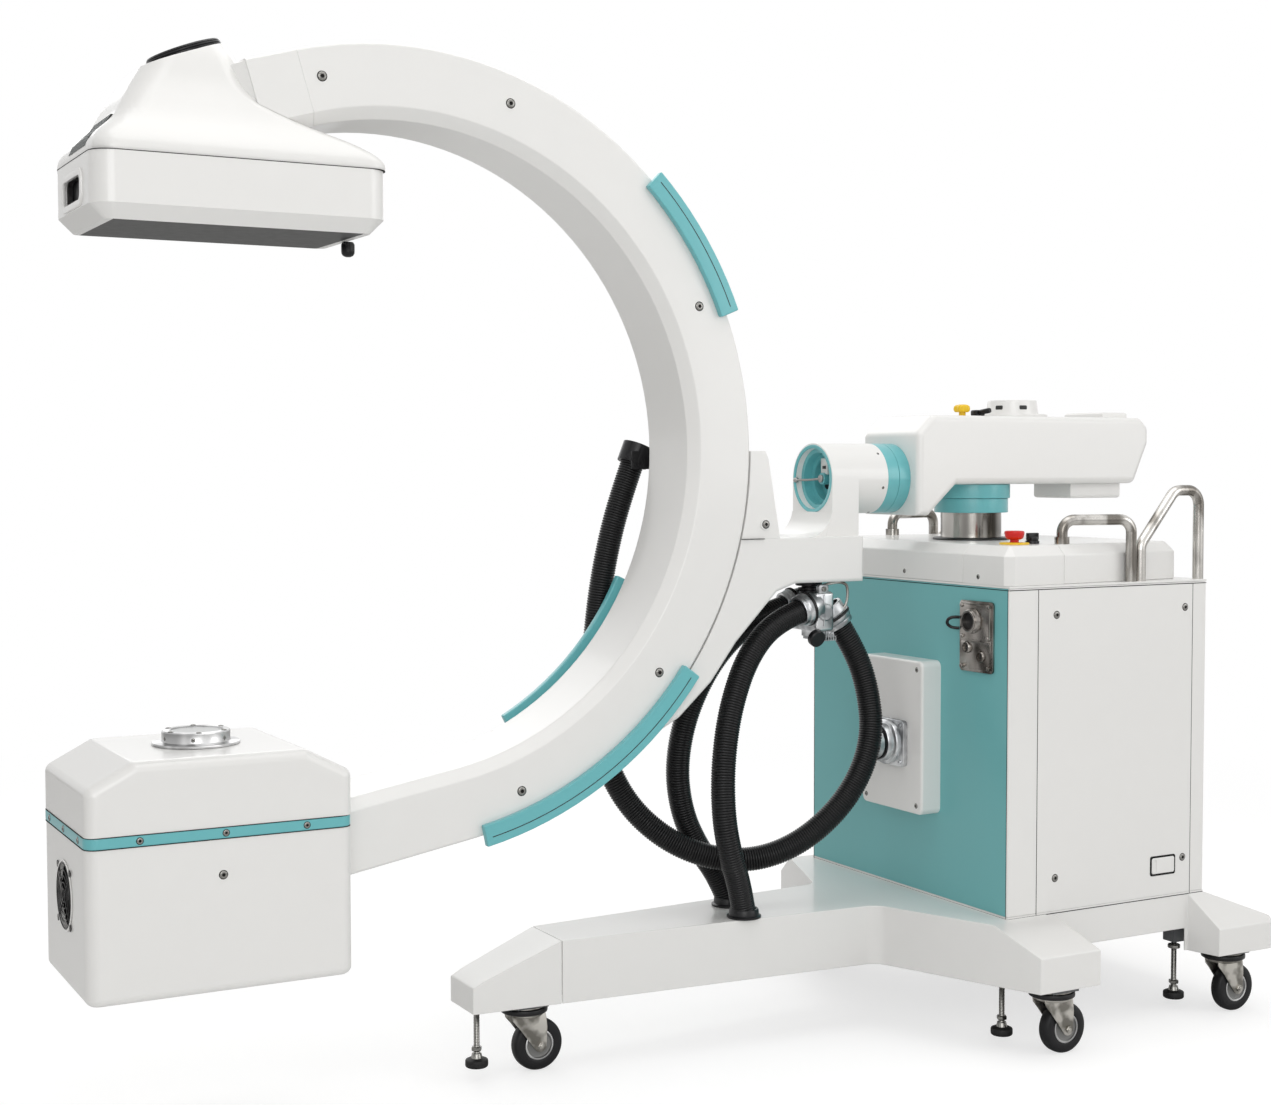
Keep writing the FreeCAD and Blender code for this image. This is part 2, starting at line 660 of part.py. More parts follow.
# Levelling feet: a threaded post in the chassis plate and a rubber pad, raised for driving.
for where, (x, y) in FEET.items():
    tag = "_" + where
    post = rod("post" + tag, "Z", (shift(x), y, pad_low), post_r, beam_low - pad_low + 30)
    pad = cone("pad" + tag, "Z", (shift(x), y, pad_low), pad_r, pad_r - 5, pad_tall)
    nut = rod("nut" + tag, "Z", (shift(x), y, pad_low + pad_tall), 9, 8)
    keep("levelling_foot" + tag, fuse("levelling_foot" + tag, post, pad, nut))

# Cabinet: a welded frame, corner posts, and folded sheet panels.
inner_half = cab_half - panel_deep
cab = (shift(0), shift(cab_depth))
column = shift(column_x)
sleeve_r = column_r + shaft_fit + column_wall
frame_parts = [
    box("floor_plate", cab, (-cab_half, cab_half), (leg_top, panel_low)),
    cut("ledge_open", box("ledge_plate", cab, (-cab_half, cab_half), (panel_high, lid_low)),
        rod("column_hole", "Z", (column, 0, panel_high - 1), sleeve_r + running, 10)),
]
near = inner_half - upright - 8
for i, (x, sign) in enumerate(((20, -1), (20, 1), (cab_depth - 20 - upright, -1),
                               (cab_depth - 20 - upright, 1))):
    span = (near, near + upright) if sign > 0 else (-near - upright, -near)
    frame_parts.append(box("upright_%d" % i, (shift(x), shift(x) + upright), span,
                           (panel_low, panel_high)))


def tray(name, x, y, z, open_side):
    """A folded panel: a face with a return along each edge, open towards the inside."""
    low_x, high_x = x[0] + sheet_metal, x[1] - sheet_metal
    low_y, high_y = y[0] + sheet_metal, y[1] - sheet_metal
    if open_side == "+x":
        high_x = x[1] + 1
    elif open_side == "-x":
        low_x = x[0] - 1
    elif open_side == "+y":
        high_y = y[1] + 1
    else:
        low_y = y[0] - 1
    return cut(name, box(name + "_sheet", x, y, z),
               box(name + "_fold", (low_x, high_x), (low_y, high_y),
                   (z[0] + sheet_metal, z[1] - sheet_metal)))


panel_z = (panel_low + seam, panel_high - seam)
front_half = cab_half - 5
keep("front_panel", tray("front_panel", (shift(0), shift(panel_deep)), (-front_half, front_half),
                         panel_z, "+x"))
panels = []
for hand, sign in (("left", -1), ("right", 1)):
    y = (cab_half - panel_deep, cab_half)
    y = y if sign > 0 else (-y[1], -y[0])
    panels.append(tray(hand + "_panel", (shift(post_front) + seam, shift(cab_depth - post_rear) - seam), y,
                       panel_z, "-y" if sign > 0 else "+y"))
latch_y = (-cab_half, -cab_half + 9)
latch_cup = cut("latch_cup", box("latch_block", (shift(latch_x), shift(latch_x) + latch_long), latch_y,
                                 (latch_z, latch_z + latch_tall)),
                box("latch_room", (shift(latch_x) + 2, shift(latch_x) + latch_long - 2),
                    (-cab_half - 1, -cab_half + 7), (latch_z + 2, latch_z + latch_tall - 2)))
panels[0] = cut("left_panel_open", panels[0],
                box("latch_window", (shift(latch_x), shift(latch_x) + latch_long),
                    (-cab_half - 1, -cab_half + 5),
                    (latch_z, latch_z + latch_tall)))
panels.append(latch_cup)
panels.append(tray("rear_sheet", (shift(cab_depth) - panel_deep, shift(cab_depth)),
                   (-front_half, front_half),
                   panel_z, "-x"))
keep("cabinet_panels", group("cabinet_panels", panels))

posts = []
for hand, sign in (("left", -1), ("right", 1)):
    for end in ("front", "rear"):
        if end == "front":
            x = (shift(0), shift(post_front))
            leg_x = (shift(panel_deep) + seam, shift(post_front))
        else:
            x = (shift(cab_depth - post_rear), shift(cab_depth))
            leg_x = (shift(cab_depth - post_rear), shift(cab_depth - panel_deep) - seam)
        skin = (front_half + seam, cab_half)
        body_y = (cab_half - panel_deep, cab_half)
        if sign < 0:
            skin = (-skin[1], -skin[0])
            body_y = (-body_y[1], -body_y[0])
        corner = x[0] if end == "front" else x[1]
        post = fuse("post_%s_%s" % (hand, end), box("skin_%s_%s" % (hand, end), x, skin, panel_z),
                    box("core_%s_%s" % (hand, end), leg_x, body_y, panel_z))
        posts.append(rounded("post_%s_%s_round" % (hand, end), post, 4,
                             lambda e, c=corner, s=sign: along(e, "z")
                             and spans(e, "x", c - 0.1, c + 0.1)
                             and spans(e, "y", s * cab_half - 0.1, s * cab_half + 0.1)))
keep("cabinet_frame", group("cabinet_frame", frame_parts + posts))

# Lid with its chamfered rim, and the corner cover that carries the stop button.
def lid_form(name, inset, low, high, bevel):
    front_edge = shift(0) + inset
    rear_edge = shift(lid_rear) - inset
    points = [(front_edge, -cab_half + 2 + inset), (rear_edge, -lid_rear_half + inset),
              (rear_edge, lid_rear_half - inset), (front_edge, cab_half - 2 - inset)]
    form = slab(name + "_plan", "XY", points, low, high - low)
    stood = rounded(name + "_corners", form, 16, lambda e: along(e, "z"), "Part::Chamfer")
    return rounded(name, stood, bevel, lambda e: spans(e, "z", high - 0.1, high + 0.1), "Part::Chamfer")


lid_outer = lid_form("lid_outer", 0, lid_low, lid_top, lid_chamfer)
lid_hollow = lid_form("lid_hollow", wall, lid_low - 5, lid_top - wall, lid_chamfer)
lid_hole = rod("lid_hole", "Z", (column, 0, lid_low), sleeve_r + running, lid_tall + 5)
lid_shell = cut("lid_shell", lid_outer, lid_hollow, lid_hole)
stop = (shift(stop_x), -stop_y)
stem_bore = 9
corner_shell = overlap("corner_shell", lid_shell, box(
    "corner_keep", (shift(-20), shift(corner_x)), (-cab_half, -corner_y), (lid_low - 9, lid_top + 9)))
keep("lid_corner_cover", cut(
    "lid_corner_cover", corner_shell,
    rod("stem_hole", "Z", (*stop, lid_top - wall - 1), stem_bore + shaft_fit, wall + 2)))
keep("top_lid", cut(
    "top_lid", lid_shell,
    box("corner_cut", (shift(-20), shift(corner_x) + seam), (-cab_half, -corner_y + seam),
        (lid_low - 9, lid_top + 9))))

# Controls on the corner cover: a mushroom stop button on a yellow collar, and a rotary knob.
keep("stop_collar", tube("stop_collar", "Z", (*stop, lid_top), stop_r + 10, stem_bore + shaft_fit, 4))
head_low = lid_top + 4 + stop_travel + 1
button = fuse("button_solid",
              rod("button_stem", "Z", (*stop, lid_top + 0.2), stem_bore, head_low - lid_top + 2),
              cone("button_neck", "Z", (*stop, head_low), stop_r - 5, stop_r, 8),
              rod("button_top", "Z", (*stop, head_low + 8), stop_r, 10))
keep("stop_button", rounded("stop_button", button, 5,
                            lambda e: spans(e, "z", head_low + 17.9, head_low + 18.1)))
knob_at = (shift(knob_x), -stop_y + 2)
keep("rotary_knob", fuse("rotary_knob",
                         rod("knob_disc", "Z", (*knob_at, lid_top + running), knob_r, 8),
                         box("knob_bar", (knob_at[0] - 4, knob_at[0] + 4),
                             (knob_at[1] - knob_r, knob_at[1] + knob_r),
                             (lid_top + 8, lid_top + 22))))

# Fittings on the front panel: a cover box, a cable flange and a connector plate.
box_x = (shift(-box_deep), shift(0))
box_y = (-box_mid - box_half, -box_mid + box_half)
box_solid = rounded("front_box_solid", box("front_box_block", box_x, box_y, (box_low, box_high)),
                    box_round, lambda e: along(e, "x"))
box_soft = rounded("front_box_soft", box_solid, 6, lambda e: spans(e, "x", box_x[0] - 0.1, box_x[0] + 0.1))
box_room = box("front_box_room", (box_x[0] + 4, box_x[1] + 1), (box_y[0] + 8, box_y[1] - 8),
               (box_low + 8, box_high - 8))
box_screws = [rod("box_screw_%d" % i, "X", (box_x[0] - 2, y, z), 6, 2)
              for i, (y, z) in enumerate(((box_y[1] - 18, box_low + 18), (box_y[1] - 18, box_high - 18),
                                          (box_y[0] + 18, box_low + 18), (box_y[0] + 18, box_high - 18)))]
flange_at = (-flange_y, flange_z)
flange_low = box_x[0] - 10
keep("front_box", cut("front_box", box_soft, box_room,
                      rod("front_box_port", "X", (box_x[0] - 1, *flange_at), gland_r - 6, 8)))
flange = fuse(
    "cable_flange",
    tube("flange_disc", "X", (flange_low, *flange_at), flange_r, gland_r - 8, 10),
    tube("gland_tube", "X", (flange_low - gland_long, *flange_at), gland_r, gland_r - 8, gland_long),
    tube("gland_lip", "X", (flange_low - gland_long - 6, *flange_at), gland_r + 5, gland_r - 8, 6),
    *[rod("flange_bolt_%d" % i, "X",
          (flange_low - 5, flange_at[0] + (flange_r - 11) * cosine(60 * i + 30),
           flange_at[1] + (flange_r - 11) * sine(60 * i + 30)), 5, 6) for i in range(6)])
socket_y = (-socket_outer, -socket_inner)
socket_z = (socket_low, socket_high)
plate_x = (shift(-5), shift(0))
socket_at = ((socket_y[0] + socket_y[1]) / 2, socket_z[0] + 46)
socket_holes = [rod("socket_hole_%d" % i, "X", (plate_x[0] - 1, y, z), r, 8)
                for i, (y, z, r) in enumerate((
                    (socket_y[0] + 30, socket_z[1] - 30, 11), (socket_y[1] - 30, socket_z[1] - 30, 11)))]
socket = fuse(
    "connector_plate",
    cut("socket_sheet", rounded("socket_round", box("socket_block", plate_x, socket_y, socket_z), 6,
                                lambda e: along(e, "x")), *socket_holes,
        rod("socket_bore", "X", (plate_x[0] - 1, *socket_at), 22, 8)),
    tube("socket_ring", "X", (plate_x[0] - 14, *socket_at), 27, 22, 14),
    tube("socket_face", "X", (plate_x[0] - 6, *socket_at), 22, 10, 6))
keep("front_connectors", group("front_connectors", [flange, socket] + box_screws))

# Inside the cabinet: the power unit and control electronics, the machine's counterweight.
unit_x = (shift(292), shift(482))
unit = cut("unit_case", box("unit_block", unit_x, (-250, 250), (panel_low, panel_low + 430)),
           box("unit_room", (unit_x[0] + 4, unit_x[1] - 4), (-246, 246),
               (panel_low + 40, panel_low + 426)))
unit_parts = [unit]
for i, y in enumerate((-170, 0, 170)):
    unit_parts.append(box("unit_core_%d" % i, (unit_x[0] + 20, unit_x[1] - 20), (y - 62, y + 62),
                          (panel_low + 40, panel_low + 220)))
for i in range(7):
    unit_parts.append(box("unit_fin_%d" % i, (unit_x[0] - 18, unit_x[0]),
                          (-210 + i * 70 - 2, -210 + i * 70 + 2),
                          (panel_low + 60, panel_low + 400)))
keep("power_unit", fuse("power_unit", *unit_parts))

# Lift column: a fixed outer tube and a chrome inner tube with the lower swivel ring on top.
keep("column_outer", fuse(
    "column_outer",
    tube("column_sleeve", "Z", (column, 0, panel_low), sleeve_r, column_r + shaft_fit,
         lid_top - panel_low),
    tube("column_foot", "Z", (column, 0, panel_low), sleeve_r + 24, column_r + shaft_fit, 10)))
keep("column_inner", fuse(
    "column_inner",
    tube("column_tube", "Z", (column, 0, column_low), column_r, column_r - column_wall,
         ring_low - column_low),
    rod("ring_lower", "Z", (column, 0, ring_low), ring_low_r, ring_tall),
    rod("swivel_pin", "Z", (column, 0, ring_mid), swivel_r, ring_tall - 6)))

# The swivel head: the upper ring and the saddle that the arm slides on.
neck_x = (column - 35, column + 35)
rail_z = arm_low + 26
saddle_x = (shift(110), shift(300))
saddle_z = (arm_low + wall + running + 2, arm_low + 56)
saddle = cut("saddle_block", box("saddle_solid", saddle_x, (-saddle_half, saddle_half), saddle_z),
             *[box("saddle_groove_%s" % hand, (saddle_x[0] - 1, saddle_x[1] + 1),
                   (near, near + 16), (rail_z - shaft_fit, rail_z + rail_tall + shaft_fit))
               for hand, near in (("left", -saddle_half - 1), ("right", saddle_half - 15))])
keep("swivel_head", cut(
    "swivel_head",
    fuse("swivel_solid", rod("ring_upper", "Z", (column, 0, ring_mid + running), ring_high_r,
                             ring_tall - running),
         box("neck", neck_x, (-neck_half, neck_half), (arm_low - 5, saddle_z[0] + 5)), saddle),
    rod("pin_bore", "Z", (column, 0, ring_mid), swivel_r + shaft_fit, ring_tall - 5)))

# The arm housing slides along the saddle; the flip axis runs through its front wall.
arm_side = [
    (shift(-arm_front), flip_z - 76), (shift(-8), flip_z - 76), (shift(18), flip_z - 52),
    (shift(62), arm_low),
    (shift(arm_rear) - 40, arm_low), (shift(arm_rear), flip_z + 75), (shift(arm_rear), flip_z + 108),
    (shift(arm_rear) - 22, arm_top), (shift(2), arm_top), (shift(-arm_front), flip_z + 92),
]


def inset_outline(points, depth):
    """The same outline moved inwards all round; points run counter-clockwise."""
    moved = []
    count = len(points)
    for i in range(count):
        before, here, after = (Vector(number(points[j % count][0]), number(points[j % count][1]), 0)
                               for j in (i - 1, i, i + 1))
        one, two = (here - before).normalize(), (after - here).normalize()
        left_one, left_two = Vector(-one.y, one.x, 0), Vector(-two.y, two.x, 0)
        corner = (left_one + left_two) / (1 + left_one.dot(left_two))
        moved.append((points[i][0] + depth * round(corner.x, 6),
                      points[i][1] + depth * round(corner.y, 6)))
    return moved


arm_block = across("arm_block", arm_side, arm_half)
arm_side_y = number(arm_half)
arm_bent = rounded("arm_bent", arm_block, arm_corner,
                   lambda e: along(e, "y") and not spans(e, "x", shift(-60), shift(80))
                   or along(e, "y") and spans(e, "z", flip_z + 80, arm_top + 1))
arm_soft = rounded("arm_soft", arm_bent, arm_edge,
                   lambda e: spans(e, "y", -arm_side_y - 0.1, -arm_side_y + 0.1)
                   or spans(e, "y", arm_side_y - 0.1, arm_side_y + 0.1))
arm_room = across("arm_room", inset_outline(arm_side, wall + 1), arm_half - wall)
front_wall = box("arm_front_wall", (shift(-arm_front) + 2, shift(-arm_front) + 14),
                 (-arm_half + 16, arm_half - 16),
                 (flip_z - 60, flip_z + 80))
slide_rails = [box("slide_rail_%s" % hand, (shift(70), shift(arm_rear) - 60), span,
                   (rail_z, rail_z + rail_tall))
               for hand, span in (("left", (-arm_half + 2, -saddle_half + 14)),
                                  ("right", (saddle_half - 14, arm_half - 2)))]
neck_slot = box("neck_slot", (neck_x[0] - running, neck_x[1] + arm_travel + running),
                (-neck_half - running, neck_half + running), (arm_low - 1, arm_low + wall + 2))
keep("arm_housing", cut(
    "arm_housing",
    fuse("arm_walls", cut("arm_shell", arm_soft, arm_room), front_wall, *slide_rails),
    neck_slot,
    rod("flip_bore", "X", (shift(-arm_front) - 1, 0, flip_z), flip_shaft + shaft_fit, 20)))

keep("arm_fittings", group("arm_fittings", [
    rounded("under_box", box("under_block", (shift(398), shift(540)), (-60, 60),
                             (arm_low - 32, arm_low)), 6,
            lambda e: spans(e, "z", arm_low - 32.1, arm_low - 31.9)),
    fuse("puck", rod("puck_flange", "Z", (shift(puck_x), 0, arm_top), 75, 6),
         cone("puck_drum", "Z", (shift(puck_x), 0, arm_top + 6), 56, 52, 30)),
    rounded("rear_cover", box("rear_cover_block", (shift(486), shift(556)), (-62, 62),
                              (arm_top, arm_top + 12)), 5,
            lambda e: spans(e, "z", arm_top + 11.9, arm_top + 12.1)),
]))
lock = (shift(lock_x), -lock_y)
keep("arm_lock_knob", fuse(
    "arm_lock_knob",
    rod("lock_stem", "Z", (*lock, arm_top + running), 7, 8),
    rod("lock_head", "Z", (*lock, arm_top + 8), 13, 16),
    *[rod("lock_lobe_%d" % i, "Z", (lock[0] + 12 * cosine(120 * i), lock[1] + 12 * sine(120 * i),
                                    arm_top + 9), 7, 14)
      for i in range(3)]))

# Flip axis: a ring fixed to the arm, a ring and shaft that turn with the carriage.
flip_x = shift(-arm_front) - flip_ring
keep("flip_ring_rear", tube("flip_ring_rear", "X", (flip_x, 0, flip_z), flip_r, flip_shaft + shaft_fit,
                            flip_ring))
keep("flip_ring_front", fuse(
    "flip_ring_front",
    rod("flip_ring_disc", "X", (flip_x - running - flip_ring, 0, flip_z), flip_r, flip_ring),
    rod("flip_shaft", "X", (flip_x - running - 2, 0, flip_z), flip_shaft, shift(2) - flip_x + running + 2),
    rod("flip_collar", "X", (shift(-arm_front) + 14 + running, 0, flip_z), flip_shaft + 6, 8)))
barrel_x = (shift(-barrel_end), flip_x - running - flip_ring)

# Carriage: the barrel of the flip axis, the bracket that holds the rim and its cheek.
bracket_side = [
    (shift(-bracket_right), flip_z - 206), (shift(-bracket_right), flip_z - recess_down),
    (shift(-760), flip_z - recess_down),
    (shift(-760), flip_z - 430), (shift(-654), flip_z - 487), (shift(-595), flip_z - 455),
    (shift(-524), flip_z - 391),
    (shift(-467), flip_z - 316), (shift(-374), flip_z - 221), (shift(-330), flip_z - 206),
]
bracket_block = across("bracket_block", bracket_side, carriage_half)
rim_hole = rod("rim_hole", "Y", (centre_x, -400, c_z), c_out + rim_gap, 800)
bracket_cut = cut("bracket_cut", bracket_block, rim_hole)
bracket_soft = rounded(
    "bracket_soft", bracket_cut, 8,
    lambda e: e.Curve.TypeId == "Part::GeomLine" and not along(e, "y")
    and (spans(e, "y", -carriage_half - 0.1, -carriage_half + 0.1)
         or spans(e, "y", carriage_half - 0.1, carriage_half + 0.1))
    and not spans(e, "z", flip_z - recess_down - 0.1, flip_z - recess_down + 0.1))
barrel = rod("barrel", "X", (barrel_x[0], 0, flip_z), flip_r, barrel_x[1] - barrel_x[0])
cradle = box("cradle", (shift(-wall_left), shift(-bracket_right)), (-flip_r, flip_r),
             (flip_z - recess_down, flip_z))
keep("carriage_body", cut(
    "carriage_body", fuse("carriage_solid", bracket_soft, barrel, cradle),
    rod("cup_bore", "X", (shift(-wall_left) - 1, 0, flip_z), cup_r,
        barrel_x[0] - shift(-wall_left) + 1 + cup_deep)))
cup_in = barrel_x[0] + cup_deep
keep("pivot_cup", cut(
    "pivot_cup",
    fuse("cup_solid", tube("cup_step_1", "X", (cup_in - 46, 0, flip_z), cup_r, cup_r - 9, 46),
         tube("cup_step_2", "X", (cup_in - 26, 0, flip_z), cup_r - 9, cup_r - 18, 26),
         rod("cup_floor", "X", (cup_in - 8, 0, flip_z), cup_r, 8),
         rod("cup_pin", "X", (cup_in - 38, 0, flip_z), 12, 36)),
    *[rod("cup_hole_%d" % i, "X", (cup_in - 9, 27 * cosine(120 * i + 30),
                                   flip_z + 27 * sine(120 * i + 30)), 5, 6)
      for i in range(3)]))
cheek_side = [
    (shift(-cheek_right), flip_z - recess_down), (shift(-396), flip_z + 40), (shift(-403), flip_z + 55),
    (shift(-470), flip_z + 55),
    (shift(-520), flip_z - recess_down),
]
cheek_block = cut("cheek_block", across("cheek_form", cheek_side, carriage_half), rim_hole)
cheek_bolts = [rod("cheek_bolt_%d" % i, "Y", (shift(-404), y, flip_z - 88), 11, 4)
               for i, y in enumerate((-carriage_half - 3, carriage_half - 1))]
keep("carriage_cheek", fuse("carriage_cheek", cheek_block, *cheek_bolts))


def sector(name, inner, outer, y, angles):
    """Part of a ring about the centre of the C, between two angles above the horizontal."""
    turn = Rotation(Vector(0, 1, 0), -number(angles[1])) * TURNS["Y"]
    wedge = rod(name + "_wedge", "Y", (centre_x, y[0], c_z), outer, y[1] - y[0], angles[1] - angles[0],
                turn)
    return cut(name, wedge, rod(name + "_eye", "Y", (centre_x, y[0] - 1, c_z), inner, y[1] - y[0] + 2))


shoe_half = groove_half - 0.4
shoe = sector("shoe_ring", c_out - groove_deep + 0.3, c_out + rim_gap, (-shoe_half, shoe_half), (-44, -2))
keep("guide_shoe", shoe)

# The C: a hollow section swept about its centre, then straight to the tube housing.
def c_section(sketch, inset):
    """Half-widths follow the rim: bevelled inner edges, a running groove outside."""
    inner, outer = c_out - c_deep, c_out
    groove_floor = c_out - groove_deep
    rim = [(outer - inset, c_half - inset)]
    if inset == 0:
        rim = [(outer - 4, c_half), (outer, c_half - 4)]
    half = [
        (inner + inset, c_half - c_bevel - inset * 0.42),
        (inner + c_bevel + inset * 0.42, c_half - inset),
        *rim,
        (outer - inset, groove_half + inset),
        (groove_floor - inset, groove_half + inset),
    ]
    return outline(sketch, half + [(r, -y) for r, y in reversed(half)])


c_body = new_body("c_rail_body")
arc_sketch = body_sketch(c_body, "XY_Plane", "c_section")
c_section(arc_sketch, 0)
c_section(arc_sketch, c_wall)
arc = c_body.newObject("PartDesign::Revolution", "c_arc")
arc.Profile = arc_sketch
arc.ReferenceAxis = (arc_sketch, ["V_Axis"])
arc.Type = "TwoAngles"
bind(arc, "Angle", c_low)
bind(arc, "Angle2", c_high)
tail_sketch = body_sketch(c_body, "XY_Plane", "c_tail_section")
tail_sketch.AttachmentOffset = Placement(Vector(), Rotation(Vector(0, 1, 0), number(c_low)))
c_section(tail_sketch, 0)
c_section(tail_sketch, c_wall)
tail = c_body.newObject("PartDesign::Pad", "c_tail")
tail.Profile = tail_sketch
tail.Reversed = True
bind(tail, "Length", tail_long)
c_body.Tip = tail
place(c_body, centre_x, 0, c_z)
tube_x = (tube_mid - tube_long / 2, tube_mid + tube_long / 2)
keep("c_rail", cut("c_rail", c_body, box("tail_trim", (tube_x[1] - 200, tube_x[1]), (-200, 200),
                                         (200, 800))))

# End cap of the C, trimmed to the detector's bell; the bell's form is needed first.
def soft_rectangle(name, z, x, half, corner):
    """A rectangle with round corners at height z, symmetric about Y = 0."""
    sketch = place(DOC.addObject("Sketcher::SketchObject", name), 0, 0, z)
    x0, x1, y, r = (number(amount) for amount in (x[0], x[1], half, corner))
    ends = [((x0 + r, -y), (x1 - r, -y)), ((x1, -y + r), (x1, y - r)),
            ((x1 - r, y), (x0 + r, y)), ((x0, y - r), (x0, -y + r))]
    centres = [(x1 - r, -y + r), (x1 - r, y - r), (x0 + r, y - r), (x0 + r, -y + r)]
    for i in range(4):
        start, stop = ends[i]
        sketch.addGeometry(Part.LineSegment(Vector(*start, 0), Vector(*stop, 0)), False)
        arc_of = Part.Circle(Vector(*centres[i], 0), Vector(0, 0, 1), r)
        sketch.addGeometry(Part.ArcOfCircle(arc_of, math.radians(90 * i - 90), math.radians(90 * i)),
                           False)
    for i in range(4):
        line, turn, after = 2 * i, 2 * i + 1, (2 * i + 2) % 8
        sketch.addConstraint(Sketcher.Constraint("Tangent", line, 2, turn, 1))
        sketch.addConstraint(Sketcher.Constraint("Tangent", turn, 2, after, 1))
        sketch.addConstraint(Sketcher.Constraint("Horizontal" if i % 2 == 0 else "Vertical", line))
        if i:
            sketch.addConstraint(Sketcher.Constraint("Equal", 1, turn))
    held = sketch.addConstraint(Sketcher.Constraint("Radius", 1, r))
    bind(sketch, "Constraints[%d]" % held, corner)
    held = sketch.addConstraint(Sketcher.Constraint("DistanceY", -1, 1, 2, 2, y))
    bind(sketch, "Constraints[%d]" % held, half)
    held = sketch.addConstraint(Sketcher.Constraint("DistanceY", 0, 1, -1, 1, y))
    bind(sketch, "Constraints[%d]" % held, half)
    for line, amount in ((2, x[1]), (6, x[0])):
        ahead = number(amount) > 0
        refs = (-1, 1, line, 1) if ahead else (line, 1, -1, 1)
        held = sketch.addConstraint(Sketcher.Constraint("DistanceX", *refs, abs(number(amount))))
        bind(sketch, "Constraints[%d]" % held, amount if ahead else -amount)
    return sketch


det_split = det_bottom + det_tray
BELL = [
    (0, 243, 253, 148, 36), (12, 243, 253, 148, 36), (30, 235, 235, 140, 40), (60, 205, 165, 118, 44),
    (95, 182, 80, 100, 46), (140, 155, 32, 84, 46), (185, 130, 14, 72, 46), (240, 112, 10, 66, 46),
]


def bell(name, inset):
    """The bell over the detector: soft rectangles that draw in and lean towards the C."""
    sections = []
    for i, (up, left, right, half, corner) in enumerate(BELL):
        sections.append(soft_rectangle(
            "%s_%d" % (name, i), det_split + up,
            (beam - left + inset, beam + right - inset), half - inset, corner - inset))
    loft = DOC.addObject("Part::Loft", name)
    loft.Sections = sections
    loft.Solid = True
    loft.Ruled = False
    return loft


def above_neck(name, drop):
    """Everything over the tilted plane that ends the bell."""
    low = beam - 300
    high = beam + 300
    fall = (neck_right - neck_left) / 140
    middle = det_split + (neck_left + neck_right) / 2 - drop
    return across(name, [(low, middle - fall * 240), (high, middle + fall * 360),
                         (high, middle + 600), (low, middle + 600)], 300)


bell_outer = cut("bell_outer", bell("bell_skin", 0), above_neck("neck_cut", 0))
bell_inner = cut("bell_inner", bell("bell_room", wall), above_neck("room_cut", wall))
bell_guard = bell("bell_guard", -seam)
below_split = box("below_split", (beam - 400, beam + 400), (-300, 300), (det_split - 200, det_split))
vent_slots = [box("vent_%d" % i, (beam - 300, beam - 150), (-62, 62),
                  (det_split + 20 + i * 11, det_split + 26 + i * 11))
              for i in range(5)]
keep("detector_cover", cut(
    "detector_cover", bell_outer,
    cut("bell_hollow", bell_inner, box("bell_lip", (beam - 400, beam + 400), (-300, 300),
                                       (det_split - 50, det_split - 1))),
    *vent_slots))

cap_body = new_body("end_cap_body")
cap_sketch = body_sketch(cap_body, "XY_Plane", "end_cap_section")
cap_sketch.AttachmentOffset = Placement(Vector(), Rotation(Vector(0, 1, 0), -number(c_high)))
c_section(cap_sketch, 0)
c_section(cap_sketch, c_wall)
cap_pad = cap_body.newObject("PartDesign::Pad", "end_cap_pad")
cap_pad.Profile = cap_sketch
bind(cap_pad, "Length", cap_long)
cap_body.Tip = cap_pad
place(cap_body, centre_x, 0, c_z)
keep("c_end_cap", cut("c_end_cap", cap_body, bell_guard))

# Bolts along the C, guards over its rim and the stop plate under its lower end.
c_face = c_half
bolt_set = []
for i, angle in enumerate((103.2, 72, 25, -39.4, -70.5)):
    for hand, y in (("near", -c_face - 2), ("far", c_face)):
        bolt_set.append(rod("c_bolt_%s_%d" % (hand, i), "Y",
                            (centre_x + bolt_r * cosine(angle), y, c_z + bolt_r * sine(angle)), 7, 2))
keep("c_face_bolts", group("c_face_bolts", bolt_set))
guards = [
    sector("guard_upper", guard_in, guard_out, (-c_half - guard_deep, -c_half), (22, 46)),
    sector("guard_lower", guard_in, guard_out, (-c_half - guard_deep, -c_half), (-78.5, -36)),
    sector("guard_far", c_out - c_deep - 6, c_out - c_deep + 30, (c_half, c_half + guard_deep),
           (-62, -25)),
]

# Detector housing: lower shell with its recessed panel, slot and pointer.
det_x = (beam - det_long / 2, beam + det_long / 2)
tray_plan = rounded("tray_plan", box("tray_block", det_x, (-det_half, det_half),
                                     (det_bottom, det_split)), 38,
                    lambda e: along(e, "z"))
tray_skin = rounded("tray_skin", tray_plan, 24, lambda e: spans(e, "z", det_bottom - 0.1,
                                                                det_bottom + 0.1),
                    "Part::Chamfer")
tray_void = rounded("tray_void", box("tray_hollow", (det_x[0] + wall, det_x[1] - wall),
                                     (-det_half + wall, det_half - wall),
                                     (det_bottom + 14, det_split + 5)), 33,
                    lambda e: along(e, "z"))
tray_room = rounded("tray_room", tray_void, 18, lambda e: spans(e, "z", det_bottom + 13.9,
                                                                det_bottom + 14.1),
                    "Part::Chamfer")
slot_block = box("slot_block", (det_x[0] + 2, det_x[0] + slot_deep + 3), (-slot_half - 3, slot_half + 3),
                 (slot_low - 3, slot_low + slot_tall + 3))
slot_void = box("slot_void", (det_x[0] - 2, det_x[0] + slot_deep), (-slot_half, slot_half),
                (slot_low, slot_low + slot_tall))
panel_hole = box("panel_hole", (beam - 213, beam + 213), (-126, 126), (det_bottom - 1, det_bottom + 6))
tray_keep = overlap("tray_keep", tray_skin, box("tray_limit", (det_x[0] - 5, det_x[1] + 5), (-200, 200),
                                                (det_bottom - 5, det_split - seam)))
